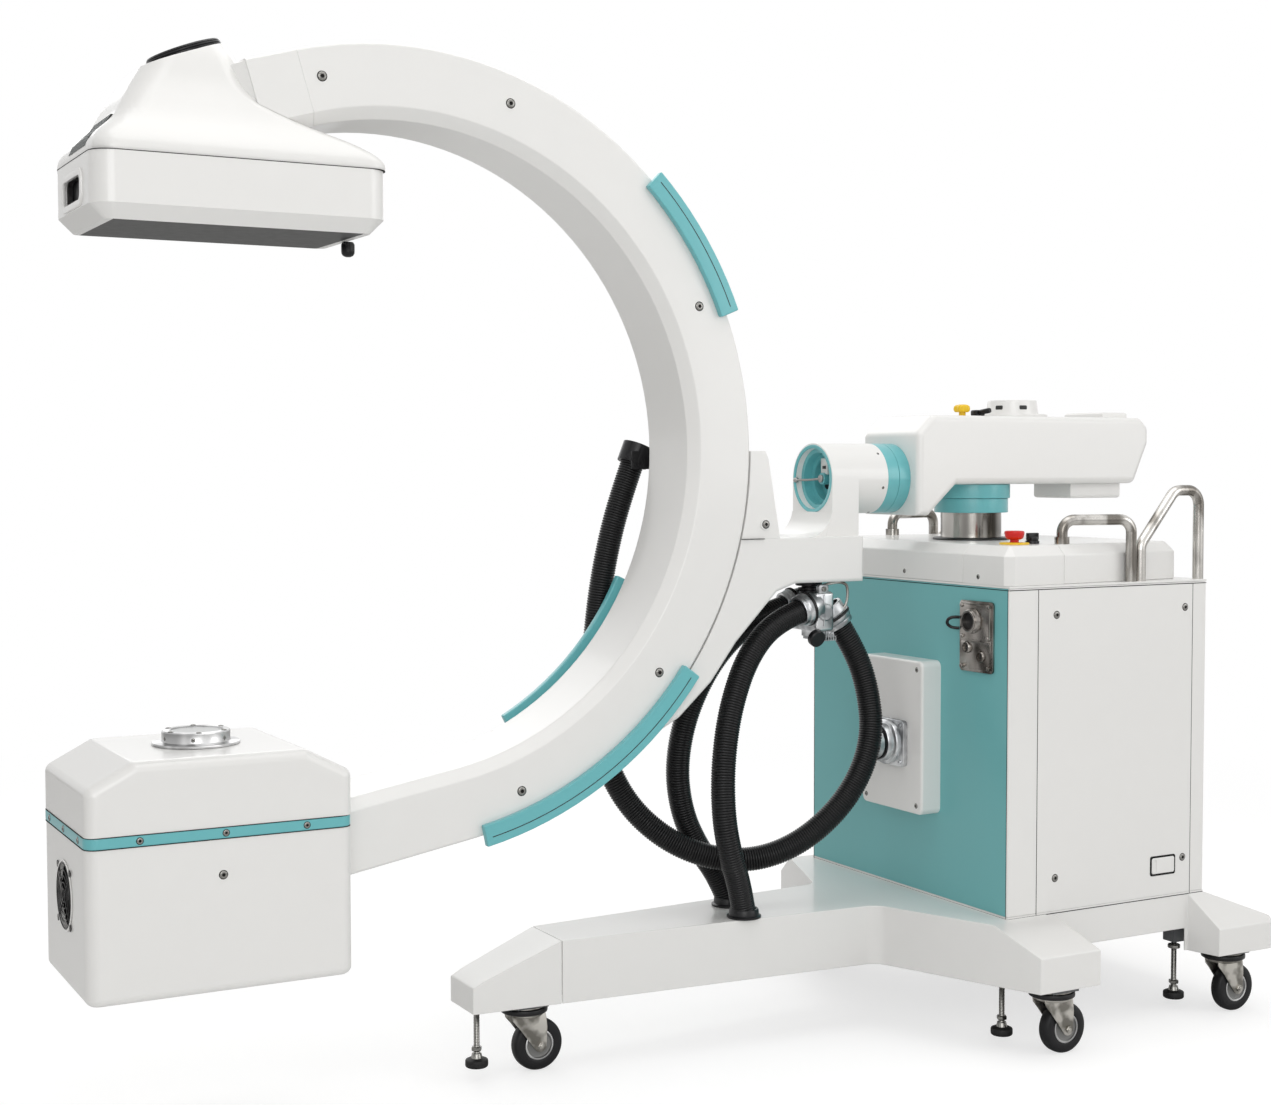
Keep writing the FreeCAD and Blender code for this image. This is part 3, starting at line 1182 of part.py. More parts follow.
keep("detector_tray", cut("detector_tray",
                          fuse("tray_walls", cut("tray_open", tray_keep, tray_room), slot_block),
                          slot_void, panel_hole))
keep("detector_panel", rounded(
    "detector_panel", box("panel_block", (beam - 212.5, beam + 212.5), (-125.5, 125.5),
                          (det_bottom, det_bottom + 6)),
    8, lambda e: along(e, "z")))

# The ribbed cap over the neck of the bell, and the pointer knob under the detector.
cap_tilt = math.degrees(math.atan2(number(neck_right - neck_left), 140))
cap_up = det_split + (neck_left + neck_right) / 2
cap_turn = Rotation(Vector(0, 1, 0), -cap_tilt)


def on_neck(name, radius, up, tall):
    """A disc on the tilted neck, counted along its own axis."""
    lean = math.radians(cap_tilt)
    return rod(name, "Z", (beam - 60 - up * math.sin(lean), 0, cap_up + up * math.cos(lean)), radius, tall,
               turn=cap_turn)


cap_grooves = [cut("cap_ring_%d" % i, on_neck("cap_wide_%d" % i, 70, 3 + 4 * i, 2),
                   on_neck("cap_narrow_%d" % i, 62, 2 + 4 * i, 4)) for i in range(2)]
keep("detector_cap", group("detector_cap", [
    cut("neck_cap", on_neck("neck_disc", 66, 0, 13), on_neck("neck_dish", 52, 9, 8), *cap_grooves),
    rod("pointer", "Z", (det_x[1] - 22, 0, det_bottom - 26), 8, 26),
]))

# Tube housing under the C: lower shell, teal band and a cover with sloping ends.
tube_top = tube_bottom + tube_tall
band_top = tube_top + band_tall
cover_top = band_top + tube_cap
tube_y = (-tube_half, tube_half)
shell_plan = rounded("tube_plan", box("tube_block", tube_x, tube_y, (tube_bottom, tube_top)), 22,
                     lambda e: along(e, "z"))
shell_skin = rounded("tube_skin", shell_plan, 14, lambda e: spans(e, "z", tube_bottom - 0.1,
        tube_bottom + 0.1))
shell_room = rounded("tube_room", box("tube_void", (tube_x[0] + wall, tube_x[1] - wall),
                                      (-tube_half + wall, tube_half - wall),
                                      (tube_bottom + wall, tube_top + 5)), 17,
                     lambda e: along(e, "z"))
fan_z = tube_bottom + fan_up
keep("tube_housing", cut(
    "tube_housing", shell_skin, shell_room, rod("fan_opening", "X", (tube_x[0] - 1, 0, fan_z), fan_r,
                                                wall + 2)))
band_out = 1.2
band_skin = rounded("band_skin", box("band_block", (tube_x[0] - band_out, tube_x[1]),
                                     (-tube_half - band_out,
                                     tube_half + band_out), (tube_top, band_top)), 22,
                                     lambda e: along(e, "z"))
band_room = rounded("band_room", box("band_void", (tube_x[0] + wall, tube_x[1] - wall),
                                     (-tube_half + wall, tube_half - wall),
                                     (tube_top - 1, band_top + 1)), 17,
                    lambda e: along(e, "z"))
guards.append(cut("tube_band", band_skin, band_room))
keep("teal_guards", group("teal_guards", guards))


def cover_form(name, inset, low):
    points = [
        (tube_x[0] + inset, low), (tube_x[1] - inset, low),
        (tube_x[1] - inset, cover_top - tube_drop - inset * 0.4),
        (tube_x[1] - tube_run - inset * 0.3, cover_top - inset),
        (tube_x[0] + tube_run + inset * 0.3, cover_top - inset),
        (tube_x[0] + inset, cover_top - tube_drop - inset * 0.4),
    ]
    return across(name, points, tube_half - inset)


cover_soft = rounded("cover_soft", cover_form("cover_block", 0, band_top), 18,
                     lambda e: not spans(e, "z", band_top - 0.1, band_top + 0.1))
cover_room = rounded("cover_room", cover_form("cover_void", wall, band_top - 1), 13,
                     lambda e: not spans(e, "z", band_top - 1.1, band_top - 0.9))
keep("tube_cover", cut(
    "tube_cover", cover_soft, cover_room,
    rod("beam_port", "Z", (tube_mid, 0, cover_top - wall - 2), 60, wall + 5)))
collimator_bolts = [rod("collimator_bolt_%d" % i, "Z",
                        (tube_mid + 67 * cosine(60 * i), 67 * sine(60 * i), cover_top + 3), 4,
                        4) for i in range(6)]
keep("collimator_ring", fuse(
    "collimator_ring",
    tube("collimator_flange", "Z", (tube_mid, 0, cover_top), 75, ring_r, 5),
    tube("collimator_wall", "Z", (tube_mid, 0, cover_top), 58, ring_r, 25),
    tube("collimator_throat", "Z", (tube_mid, 0, cover_top - 40), 59.5, ring_r, 42),
    *collimator_bolts))

# The tube unit inside, and the fan behind its guard.
keep("xray_tube_unit", fuse(
    "xray_tube_unit",
    rod("tube_tank", "X", (tube_x[0] + 70, 0, tube_bottom + 170), 96, tube_long - 150),
    rod("tube_neck", "Z", (tube_mid, 0, tube_bottom + 230), 46, 74),
    box("tube_cradle", (tube_x[0] + 110, tube_x[1] - 120), (-80, 80),
        (tube_bottom + wall, tube_bottom + 110)),
    box("tube_shelf", (tube_mid - 52, tube_mid + 52), (-tube_half + wall, tube_half - wall),
        (tube_bottom + wall,
                                                                                     tube_bottom + 21))))
fan_at = (0, fan_z)
rings = [tube("guard_ring_%d" % i, "X", (tube_x[0] - guard_thick, *fan_at), 14 + 12 * i, 11.4 + 12 * i,
              guard_thick)
         for i in range(4)]
spokes = [box("guard_spoke_%d" % i, (tube_x[0] - guard_thick, tube_x[0]), pair_y, pair_z)
          for i, (pair_y, pair_z) in enumerate((
              ((-60, 60), (fan_z - 1.5, fan_z + 1.5)), ((-1.5, 1.5), (fan_z - 60, fan_z + 60))))]
guard_rim = tube("guard_rim", "X", (tube_x[0] - guard_thick, *fan_at), 63, 57, guard_thick)
guard_lugs = [tube("guard_lug_%d" % i, "X", (tube_x[0] - guard_thick, 64 * y, fan_z + 64 * z), 9, 3,
                   guard_thick)
              for i, (y, z) in enumerate(((0.72, 0.72), (0.72, -0.72), (-0.72, 0.72), (-0.72, -0.72)))]
fan_frame = fuse("fan_frame", tube("fan_shroud", "X", (tube_x[0] + wall, *fan_at), 64, 58, 33),
                 box("fan_strut", (tube_x[0] + wall + 29, tube_x[0] + wall + 33), (-60, 60),
                     (fan_z - 5, fan_z + 5)),
                 rod("fan_motor", "X", (tube_x[0] + wall + 25, *fan_at), 15, 8),
                 rod("fan_pin", "X", (tube_x[0] + wall + 6, *fan_at), 3, 22))
keep("fan_guard", group("fan_guard", [fuse("fan_grille", guard_rim, *rings, *spokes, *guard_lugs),
                                      fan_frame]))
blades = []
for i in range(7):
    blade = box("fan_blade_%d" % i, (-1, 1), (-10, 10), (14, 54))
    tilt = Rotation(Vector(1, 0, 0), 360 * i / 7) * Rotation(Vector(0, 0, 1), 38)
    base = tilt.multVec(Vector(-1, -10, 14))
    blade.Placement = Placement(Vector(number(tube_x[0]) + 16.5, 0, number(fan_z)) + base, tilt)
    bind(blade, "Placement.Base.x", tube_x[0] + 16.5 + base.x)
    bind(blade, "Placement.Base.y", base.y)
    bind(blade, "Placement.Base.z", fan_z + base.z)
    blades.append(blade)
keep("fan_rotor", cut(
    "fan_rotor",
    fuse("fan_blades", rod("fan_hub", "X", (tube_x[0] + wall + 4, *fan_at), 18, 19), *blades),
    rod("fan_bore", "X", (tube_x[0] + wall + 5.9, *fan_at), 3 + shaft_fit, 20)))

# Push handles: a tall arch and a low rail on each side, out of one bent steel tube.
handles = []
for hand, sign in (("left", -1), ("right", 1)):
    y = sign * handle_y
    arch, _, _ = bent_tube([
        (shift(handle_x), y, lid_low), (shift(handle_x), y, lid_low + 74),
        (shift(handle_x) + 92, y, handle_top),
        (shift(handle_rear), y, handle_top), (shift(handle_rear), y, lid_low)], handle_r, 30)
    rail, _, _ = bent_tube([
        (shift(178), sign * low_rail_y, lid_top + 10), (shift(178), sign * low_rail_y, lid_top + 48),
        (shift(handle_x) - 25, y, lid_top + 48), (shift(handle_x) - 25, y, lid_low)], handle_r, 26)
    ferrule = Part.makeCylinder(15, 14, Vector(number(shift(178)), sign * number(low_rail_y), number(lid_top)))
    handles += [feature("arch_%s" % hand, arch), feature("rail_%s" % hand, rail.fuse(ferrule))]
keep("push_handles", group("push_handles", handles))

# Hose holders: the clamp block under the bracket and the arm that leads one hose up the far side.
clamp = shift(-clamp_x)
bracket_low = flip_z - 206
HOSES = {
    "hose_lead": [
        (-206, -30, 850), (-166, -42, 788), (-142, -66, 706), (-144, -92, 594), (-196, -94, 488),
        (-286, -78, 404), (-384, -50, 362), (-476, -10, 366), (-556, 40, 404), (-620, 92, 478),
        (-656, 128, 588), (-665, 140, 720), (-655, 140, 850), (-633, 140, 973), (-601, 140, 1084),
        (-560, 140, 1186)],
    "hose_supply_near": [
        (-262, -40, 862), (-344, -46, 842), (-420, -58, 778), (-470, -72, 678), (-496, -86, 572),
        (-500, -94, 468), (-482, -92, 386), (-454, -80, 324), (-438, -70, 266)],
    "hose_supply_far": [
        (-254, 22, 866), (-344, 28, 846), (-434, 40, 774), (-494, 54, 664), (-516, 64, 550),
        (-502, 66, 450), (-468, 56, 374), (-430, 42, 318), (-412, 32, 267)],
}


def toward(name, start, ahead, radius, length, back=0):
    """A rod from start towards another point."""
    way = Vector(*(number(b) - number(a) for a, b in zip(start, ahead))).normalize()
    base = [amount - way[i] * back for i, amount in enumerate(start)]
    return rod(name, "Z", base, radius, length, turn=Rotation(Vector(0, 0, 1), way))


core = box("clamp_core", (clamp - 32, clamp + 38), (-70, 54), (clamp_z - 42, clamp_z + 46))
sleeves, bores = [], []
for name, points in HOSES.items():
    start, ahead = [(shift(x), y, z) for x, y, z in points[:2]]
    sleeves.append(toward(name + "_sleeve", start, ahead, hose_r + 7, 44))
    bores.append(toward(name + "_bore", start, ahead, hose_r + 0.3, 60))
clamp_block = cut("clamp_body", fuse(
    "clamp_solid", core, *sleeves,
    rod("clamp_swivel", "Z", (clamp, 0, clamp_z + 42), 24, bracket_low - clamp_z - 42),
    box("clamp_lug", (clamp + 2, clamp + 30), (-20, 30), (clamp_z - 70, clamp_z - 40))), *bores)
lead = [(shift(x), y, z) for x, y, z in HOSES["hose_lead"]][-1]
lead_from = [(shift(x), y, z) for x, y, z in HOSES["hose_lead"]][-2]
lead_arm = fuse(
    "lead_arm",
    box("lead_plate", (shift(-590), shift(-380)), (lead_y - 30, lead_y - 25), (flip_z + 20, flip_z + 56)),
    box("lead_spacer", (shift(-424), shift(-396)), (carriage_half, lead_y - 25),
        (flip_z + 2, flip_z + 46)),
    cut("lead_ring",
        toward("lead_ring_outer", lead, lead_from, hose_r + 7, 40, 2),
        toward("lead_ring_bore", lead, lead_from, hose_r + 0.3, 80, 0)))
keep("hose_clamps", group("hose_clamps", [clamp_block, lead_arm]))

# Corrugated hoses: straight runs joined by tangent arcs.
for name, points in HOSES.items():
    moved = [(number(shift(x)), y, z) for x, y, z in points]
    shape, radii, length = bent_tube(moved, hose_r)
    smallest = min(radii)
    print("%s: length %.1f, smallest bend %.1f, volume ratio %.4f" % (
        name, length, smallest, shape.Volume / (math.pi * number(hose_r) ** 2 * length)))
    keep(name, feature(name, shape))

DOC.recompute()
os.makedirs("parts", exist_ok=True)
for item in DOC.Objects:
    if "Invalid" in item.State or "Error" in item.State:
        raise RuntimeError("%s failed: %s" % (item.Name, item.State))
for item in KEPT:
    if item.Shape.isNull() or not item.Shape.isValid():
        raise RuntimeError("%s has no valid shape" % item.Label)
    item.Shape.exportStep(os.path.join("parts", item.Label + ".step"))
    print(item.Label, len(item.Shape.Solids), round(item.Shape.Volume / 1e6, 3))
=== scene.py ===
"""Mobile C-arm X-ray unit: paint, metal, rubber, corrugated hoses and fittings around its solids.

Lengths are metres. X runs from the C towards the push handles and Z is up. Places along X are
counted from the cabinet's front face, as on a drawing of the machine, and ahead() turns them
into the frame's own X.
"""

import json
import math

import bmesh
import bpy
from mathutils import Matrix, Vector


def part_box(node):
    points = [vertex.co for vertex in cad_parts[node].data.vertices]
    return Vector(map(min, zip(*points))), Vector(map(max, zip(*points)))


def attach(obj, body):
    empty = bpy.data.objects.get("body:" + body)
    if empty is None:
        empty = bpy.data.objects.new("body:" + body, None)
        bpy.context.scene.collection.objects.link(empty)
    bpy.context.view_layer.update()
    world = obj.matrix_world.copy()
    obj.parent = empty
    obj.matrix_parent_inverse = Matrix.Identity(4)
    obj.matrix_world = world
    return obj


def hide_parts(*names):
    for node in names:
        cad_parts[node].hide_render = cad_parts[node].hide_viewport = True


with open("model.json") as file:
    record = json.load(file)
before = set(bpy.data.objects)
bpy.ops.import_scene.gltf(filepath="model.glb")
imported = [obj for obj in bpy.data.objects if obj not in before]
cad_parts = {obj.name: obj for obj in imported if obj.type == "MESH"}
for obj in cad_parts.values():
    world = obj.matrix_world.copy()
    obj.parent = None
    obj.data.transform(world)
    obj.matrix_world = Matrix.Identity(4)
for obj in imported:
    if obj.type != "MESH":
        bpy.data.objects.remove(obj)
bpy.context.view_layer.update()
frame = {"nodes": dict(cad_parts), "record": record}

bl_info = {
    "name": "Mobile C-arm finish",
    "version": (1, 0, 0),
    "blender": (4, 5, 0),
    "location": "View3D > Sidebar > C-arm",
    "description": "Dresses the solids of a mobile C-arm with paint, hoses and fittings",
    "category": "Object",
}

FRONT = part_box("front_panel")[0].x
NODES = frame["nodes"]
SLOTS = {part["node"]: part["material_slot"] for part in frame["record"]["subparts"]}
BODIES = {
    node: body for body, nodes in frame["record"]["behaviour"]["bodies"].items() for node in nodes
}


def ahead(x):
    """A place ahead of the cabinet's front face, in the frame's own X."""
    return FRONT - x


# ---------------------------------------------------------------- shader maths


class Wire:
    """One shader socket, so that masks can be written as sums."""

    def __init__(self, finish, socket):
        self.finish = finish
        self.socket = socket

    def _math(self, operation, *terms):
        return self.finish.node("ShaderNodeMath", {"operation": operation}, dict(enumerate(terms)))

    def __add__(self, other):
        return self._math("ADD", self, other)

    __radd__ = __add__

    def __sub__(self, other):
        return self._math("SUBTRACT", self, other)

    def __rsub__(self, other):
        return self._math("SUBTRACT", other, self)

    def __mul__(self, other):
        return self._math("MULTIPLY", self, other)

    __rmul__ = __mul__

    def __gt__(self, other):
        return self._math("GREATER_THAN", self, other)

    def __abs__(self):
        return self._math("ABSOLUTE", self)


class Finish:
    """A material under construction: its shader and the nodes that vary it."""

    def __init__(self, name, colour, roughness, metallic=0.0, coat=0.0):
        self.material = bpy.data.materials.new(name)
        self.material.use_nodes = True
        self.tree = self.material.node_tree
        self.shader = self.tree.nodes["Principled BSDF"]
        self.material.diffuse_color = (*colour, 1)
        self.set("Base Color", (*colour, 1))
        self.set("Roughness", roughness)
        self.set("Metallic", metallic)
        self.set("Coat Weight", coat)
        self.set("Coat Roughness", 0.08)

    def set(self, name, value):
        """A constant or a wire into one of the shader's sockets."""
        socket = self.shader.inputs[name]
        if isinstance(value, Wire):
            self.tree.links.new(value.socket, socket)
        else:
            socket.default_value = value

    def node(self, kind, settings=None, inputs=None, output=0):
        """Any node: its settings first, then values or wires into its sockets."""
        made = self.tree.nodes.new(kind)
        for key, value in (settings or {}).items():
            if key == "stops":
                for stop, (place, shade) in zip(made.color_ramp.elements, value):
                    stop.position, stop.color = place, (shade, shade, shade, 1)
            else:
                setattr(made, key, value)
        for key, value in (inputs or {}).items():
            if isinstance(value, Wire):
                self.tree.links.new(value.socket, made.inputs[key])
            else:
                made.inputs[key].default_value = value
        return Wire(self, made.outputs[output])

    def place(self):
        return self.node("ShaderNodeTexCoord", output="Object")

    def noise(self, scale, detail=3.0, stretch=(1, 1, 1)):
        """Noise over the surface, stretched along an axis where a brush went."""
        at = self.node("ShaderNodeMapping", inputs={"Vector": self.place(), "Scale": stretch})
        return self.node("ShaderNodeTexNoise", inputs={"Vector": at, "Scale": scale, "Detail": detail})

    def bump(self, height, strength, distance):
        self.set("Normal", self.node(
            "ShaderNodeBump", inputs={"Height": height, "Strength": strength, "Distance": distance}))

    def between(self, mask, low, high):
        """A colour between two, by a mask."""
        return self.node(
            "ShaderNodeMix", {"data_type": "RGBA"},
            {"Factor": mask, 6: (*low, 1), 7: (*high, 1)}, output=2)


def paint(name, colour, roughness, coat, peel):
    """Gloss paint: an even colour with a little orange peel and slight wear of the gloss."""
    finish = Finish(name, colour, roughness, coat=coat)
    grain = finish.noise(26, 2)
    darker = tuple(c * 0.985 for c in colour)
    finish.set("Base Color", finish.between(grain, darker, colour))
    finish.set("Roughness", roughness + (grain - 0.5) * 0.05)
    finish.bump(finish.noise(420, 2), peel, 0.0003)
    return finish.material


def metal(name, colour, roughness, stretch=(1, 1, 1), depth=0.15):
    """Bare metal: brushed along the axis with the smallest stretch."""
    finish = Finish(name, colour, roughness, metallic=1.0)
    brush = finish.noise(300, 3, stretch)
    finish.set("Roughness", roughness + (brush - 0.5) * 0.18)
    finish.bump(brush, depth, 0.0002)
    return finish.material


def painted_reflection_metal(name, dark, light, roughness, scale, stretch):
    """Polished metal with painted reflections: dark and light bands of a workshop painted into its colour
    along one axis.
    """
    finish = Finish(name, light, roughness, metallic=1.0)
    painted_reflection_bands = finish.node("ShaderNodeValToRGB", {"stops": ((0.40, 0.0), (0.58, 1.0))},
                        {"Fac": finish.noise(scale, 1.5, stretch)})
    # painted reflection: the workshop's dark and light bands are painted into the base colour
    finish.set("Base Color", finish.between(painted_reflection_bands, dark, light))
    finish.set("Roughness", roughness + (finish.noise(240, 2, stretch) - 0.5) * 0.1)
    return finish.material


def rubber(name, colour, roughness, strength=0.25):
    finish = Finish(name, colour, roughness)
    finish.set("Specular IOR Level", 0.28)
    dust = finish.noise(45, 4)
    finish.set("Base Color", finish.between(dust, colour, tuple(c * 1.5 + 0.004 for c in colour)))
    finish.bump(finish.noise(700, 2), strength, 0.0003)
    return finish.material


def plastic(name, colour, roughness, strength=0.12):
    finish = Finish(name, colour, roughness)
    finish.set("Specular IOR Level", 0.32)
    finish.set("Roughness", roughness + (finish.noise(60, 3) - 0.5) * 0.1)
    finish.bump(finish.noise(900, 2), strength, 0.0002)
    return finish.material


def make_finishes(look):
    """Every finish of the machine, by the name of its material slot."""
    white, teal, bright = tuple(look.white), tuple(look.teal), tuple(look.bright_teal)
    return {
        "white_cover": paint("white_cover_gloss", white, 0.33, 0.35, 0.02),
        "white_casting": paint("white_casting_gloss", white, 0.32, 0.35, 0.02),
        "white_steel": paint("white_sheet_gloss", white, 0.34, 0.3, 0.02),
        "teal_steel": paint("teal_sheet_satin", teal, 0.38, 0.15, 0.07),
        "teal_metal": paint("teal_casting", bright, 0.32, 0.3, 0.04),
        "teal_plastic": paint("teal_strip", bright, 0.33, 0.25, 0.06),
        "frame_steel": paint("frame_grey", (0.12, 0.125, 0.13), 0.5, 0.0, 0.1),
        # stainless, chrome, bare casting, pressed steel, nickel and turned aluminium carry painted
        # reflections in their colour
        "stainless": painted_reflection_metal("stainless_tube", (0.20, 0.185, 0.165), (0.62, 0.60, 0.57), 0.24, 34,
                            (1, 1, 0.3)),
        "chrome_tube": painted_reflection_metal("ground_chrome", (0.055, 0.05, 0.042), (0.55, 0.53, 0.50), 0.15, 20,
                              (1, 1, 0.02)),
        "zinc_steel": metal("zinc_plate", (0.36, 0.355, 0.345), 0.34),
        "cast_metal": painted_reflection_metal("bare_casting", (0.30, 0.31, 0.32), (0.66, 0.67, 0.68), 0.34, 30,
                             (1, 1, 1)),
        "grey_steel": paint("fork_grey", (0.24, 0.25, 0.26), 0.34, 0.0, 0.1),
        "tyre_rubber": rubber("tyre", (0.006, 0.006, 0.007), 0.45),
        "pad_rubber": rubber("foot_pad", (0.008, 0.008, 0.008), 0.55),
        "black_plastic": plastic("black_moulding", (0.007, 0.007, 0.008), 0.34),
        "dark_panel": plastic("entrance_window", (0.028, 0.029, 0.028), 0.46),
        "nylon": plastic("natural_nylon", (0.62, 0.6, 0.55), 0.4),
        "yellow_plastic": plastic("signal_yellow", (0.80, 0.52, 0.02), 0.35),
        "red_plastic": plastic("signal_red", (0.62, 0.018, 0.016), 0.3),
        "hose_rubber": rubber("hose_black", (0.0035, 0.0035, 0.004), 0.3, 0.1),
        "unit_metal": metal("cast_unit", (0.4, 0.4, 0.4), 0.5),
        "power_mass": paint("case_grey", (0.3, 0.31, 0.32), 0.5, 0.0, 0.1),
        "dark_steel": metal("blackened_steel", (0.05, 0.05, 0.05), 0.4),
        "pressed_steel": painted_reflection_metal("pressed_steel", (0.20, 0.19, 0.17), (0.56, 0.54, 0.50), 0.34, 40,
                                (1, 1, 1)),
        "bright_steel": metal("bright_steel", (0.27, 0.265, 0.25), 0.25),
        "bright_plate": painted_reflection_metal("nickel_plate", (0.16, 0.145, 0.13), (0.40, 0.375, 0.35), 0.22, 24,
                               (1, 1, 0.6)),
        "turned_aluminium": painted_reflection_metal("turned_aluminium", (0.36, 0.36, 0.36), (0.66, 0.66, 0.66), 0.32,
                                   26, (1, 1, 0.4)),
        "wheel_disc": paint("wheel_disc_grey", (0.20, 0.20, 0.195), 0.38, 0.0, 0.1),
        "window_grey": plastic("window_grey", (0.46, 0.47, 0.47), 0.3),
        "grille_grey": plastic("grille_grey", (0.16, 0.17, 0.17), 0.45),
        # painted shade: near-black that stands for the shade in gaps, seams, sockets, holes and recesses
        "shadow_gap": plastic("painted_shadow_gap", (0.006, 0.006, 0.006), 0.8),
    }


FINISHES = {}


# ---------------------------------------------------------------- modelling helpers


def only(obj):
    """Select one object and make it active."""
    bpy.ops.object.select_all(action="DESELECT")
    obj.select_set(True)
    bpy.context.view_layer.objects.active = obj
    return obj


def edit(obj):
    only(obj)
    bpy.ops.object.mode_set(mode="EDIT")


def leave():
    bpy.ops.object.mode_set(mode="OBJECT")


def pick(obj, kind, test):
    """In edit mode, select the vertices, edges or faces that pass a test."""
    bpy.ops.mesh.select_mode(type=kind)
    bpy.ops.mesh.select_all(action="DESELECT")
    work = bmesh.from_edit_mesh(obj.data)
    for item in {"VERT": work.verts, "EDGE": work.edges, "FACE": work.faces}[kind]:
        if test(item):
            item.select_set(True)
    work.select_flush_mode()
    bmesh.update_edit_mesh(obj.data)


def start(name, adder, **settings):
    """A primitive to shape, alone and selected."""
    bpy.ops.object.select_all(action="DESELECT")
    adder(**settings)
    obj = bpy.context.object
    obj.name = obj.data.name = name
    bpy.ops.object.transform_apply(location=True, rotation=True, scale=True)
    return obj


def block(name, low, high):
    """A cube primitive between two corners."""
    low, high = Vector(low), Vector(high)
    return start(name, bpy.ops.mesh.primitive_cube_add, size=1, location=(low + high) / 2,
                 scale=high - low)


TURNS = {"X": (0, math.pi / 2, 0), "Y": (-math.pi / 2, 0, 0), "Z": (0, 0, 0)}
WAYS = {"X": Vector((1, 0, 0)), "Y": Vector((0, 1, 0)), "Z": Vector((0, 0, 1))}


def soften(obj, width, segments=2, angle=30.0):
    """Round every sharp edge with a bevel modifier, applied."""
    only(obj)
    bevel = obj.modifiers.new("edge", "BEVEL")
    bevel.width = width
    bevel.segments = segments
    bevel.limit_method = "ANGLE"
    bevel.angle_limit = math.radians(angle)
    bevel.use_clamp_overlap = True
    bevel.harden_normals = False
    bpy.ops.object.modifier_apply(modifier=bevel.name)
    return obj


def smooth(obj, angle=35.0):
    only(obj)
    bpy.ops.object.shade_smooth_by_angle(angle=math.radians(angle))
    return obj


def finished(obj, body, slot, nodes=(), finish=None, angle=35.0):
    """Shade, paint and attach a piece to the body that it rides on."""
    smooth(obj, angle)
    obj.data.materials.clear()
    obj.data.materials.append(FINISHES[finish or slot])
    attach(obj, body)
    if nodes:
        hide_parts(*nodes)
    return obj


def joined(name, pieces):
    """Several finished shapes as one mesh."""
    bpy.ops.object.select_all(action="DESELECT")
    for piece in pieces:
        piece.select_set(True)
    bpy.context.view_layer.objects.active = pieces[0]
    bpy.ops.object.join()
    pieces[0].name = pieces[0].data.name = name
    return pieces[0]


def copy_at(source, name, matrix):
    """A copy with its own mesh, its place in its vertices."""
    made = source.copy()
    made.data = source.data.copy()
    made.name = made.data.name = name
    bpy.context.scene.collection.objects.link(made)
    made.data.transform(matrix)
    return made


def drop(obj):
    mesh = obj.data
    bpy.data.objects.remove(obj)
    if isinstance(mesh, bpy.types.Mesh):
        bpy.data.meshes.remove(mesh)


def turn_to(normal):
    """The rotation that carries +Z to a direction."""
    return Vector((0, 0, 1)).rotation_difference(Vector(normal).normalized()).to_matrix().to_4x4()


def at(x, y, z):
    """A place in millimetres behind the cabinet's front face, off the middle and above the floor."""
    return Vector((FRONT + x / 1000, y / 1000, z / 1000))


def arc(x, y, radius, first, last, count):
    """Points on a circle, between two angles in degrees."""
    step = (last - first) / (count - 1)
    return [(x + radius * math.cos(math.radians(first + step * i)),
             y + radius * math.sin(math.radians(first + step * i))) for i in range(count)]


def round_box(x, y, radius, count=6):
    """The outline of a rectangle with round corners, from two pairs of limits."""
    (x0, x1), (y0, y1) = x, y
    return (arc(x1 - radius, y1 - radius, radius, 0, 90, count)
            + arc(x0 + radius, y1 - radius, radius, 90, 180, count)
            + arc(x0 + radius, y0 + radius, radius, 180, 270, count)
            + arc(x1 - radius, y0 + radius, radius, 270, 360, count))


FLAT = {
    "X": lambda low, a, b: at(low, a, b),
    "Y": lambda low, a, b: at(a, low, b),
    "Z": lambda low, a, b: at(a, b, low),
}


def plate(name, way, outline, low, high):
    """A filled outline, moved to its points and extruded; millimetres from the cabinet's front."""
    obj = start(name, bpy.ops.mesh.primitive_circle_add, vertices=len(outline), fill_type="NGON")
    for vertex, (a, b) in zip(obj.data.vertices, outline):
        vertex.co = FLAT[way](low, a, b)
    edit(obj)
    bpy.ops.mesh.select_all(action="SELECT")
    bpy.ops.mesh.extrude_region_move(TRANSFORM_OT_translate={"value": WAYS[way] * (high - low) / 1000})
    bpy.ops.mesh.select_all(action="SELECT")
    bpy.ops.mesh.normals_make_consistent(inside=False)
    leave()
    return obj


def turned(name, profile, steps=48):
    """A turned part about Z: radius and height in millimetres, spun; closed where it is a ring."""
    obj = start(name, bpy.ops.mesh.primitive_circle_add, vertices=len(profile), fill_type="NOTHING")
    for vertex, (radius, height) in zip(obj.data.vertices, profile):
        vertex.co = (radius / 1000, 0, height / 1000)
    edit(obj)
    if profile[0][0] == 0 and profile[-1][0] == 0:
        pick(obj, "EDGE", lambda e: all(abs(v.co.x) < 1e-7 for v in e.verts))
        bpy.ops.mesh.delete(type="EDGE")
    bpy.ops.mesh.select_all(action="SELECT")
    bpy.ops.mesh.spin(steps=steps, angle=math.tau, center=(0, 0, 0), axis=(0, 0, 1))
    bpy.ops.mesh.select_all(action="SELECT")
    bpy.ops.mesh.remove_doubles(threshold=0.000005)
    bpy.ops.mesh.normals_make_consistent(inside=False)
    leave()
    return obj


def standing(obj, place, direction=(0, 0, 1)):
    """Carry a part made about Z to its place, along a direction."""
    obj.data.transform(Matrix.Translation(place) @ turn_to(direction))
    return obj


def two_tone(obj, finish, test):
    """A second finish on the faces whose middle passes a test."""
    obj.data.materials.append(FINISHES[finish])
    index = len(obj.data.materials) - 1
    for face in obj.data.polygons:
        if test(face.center):
            face.material_index = index
    return obj


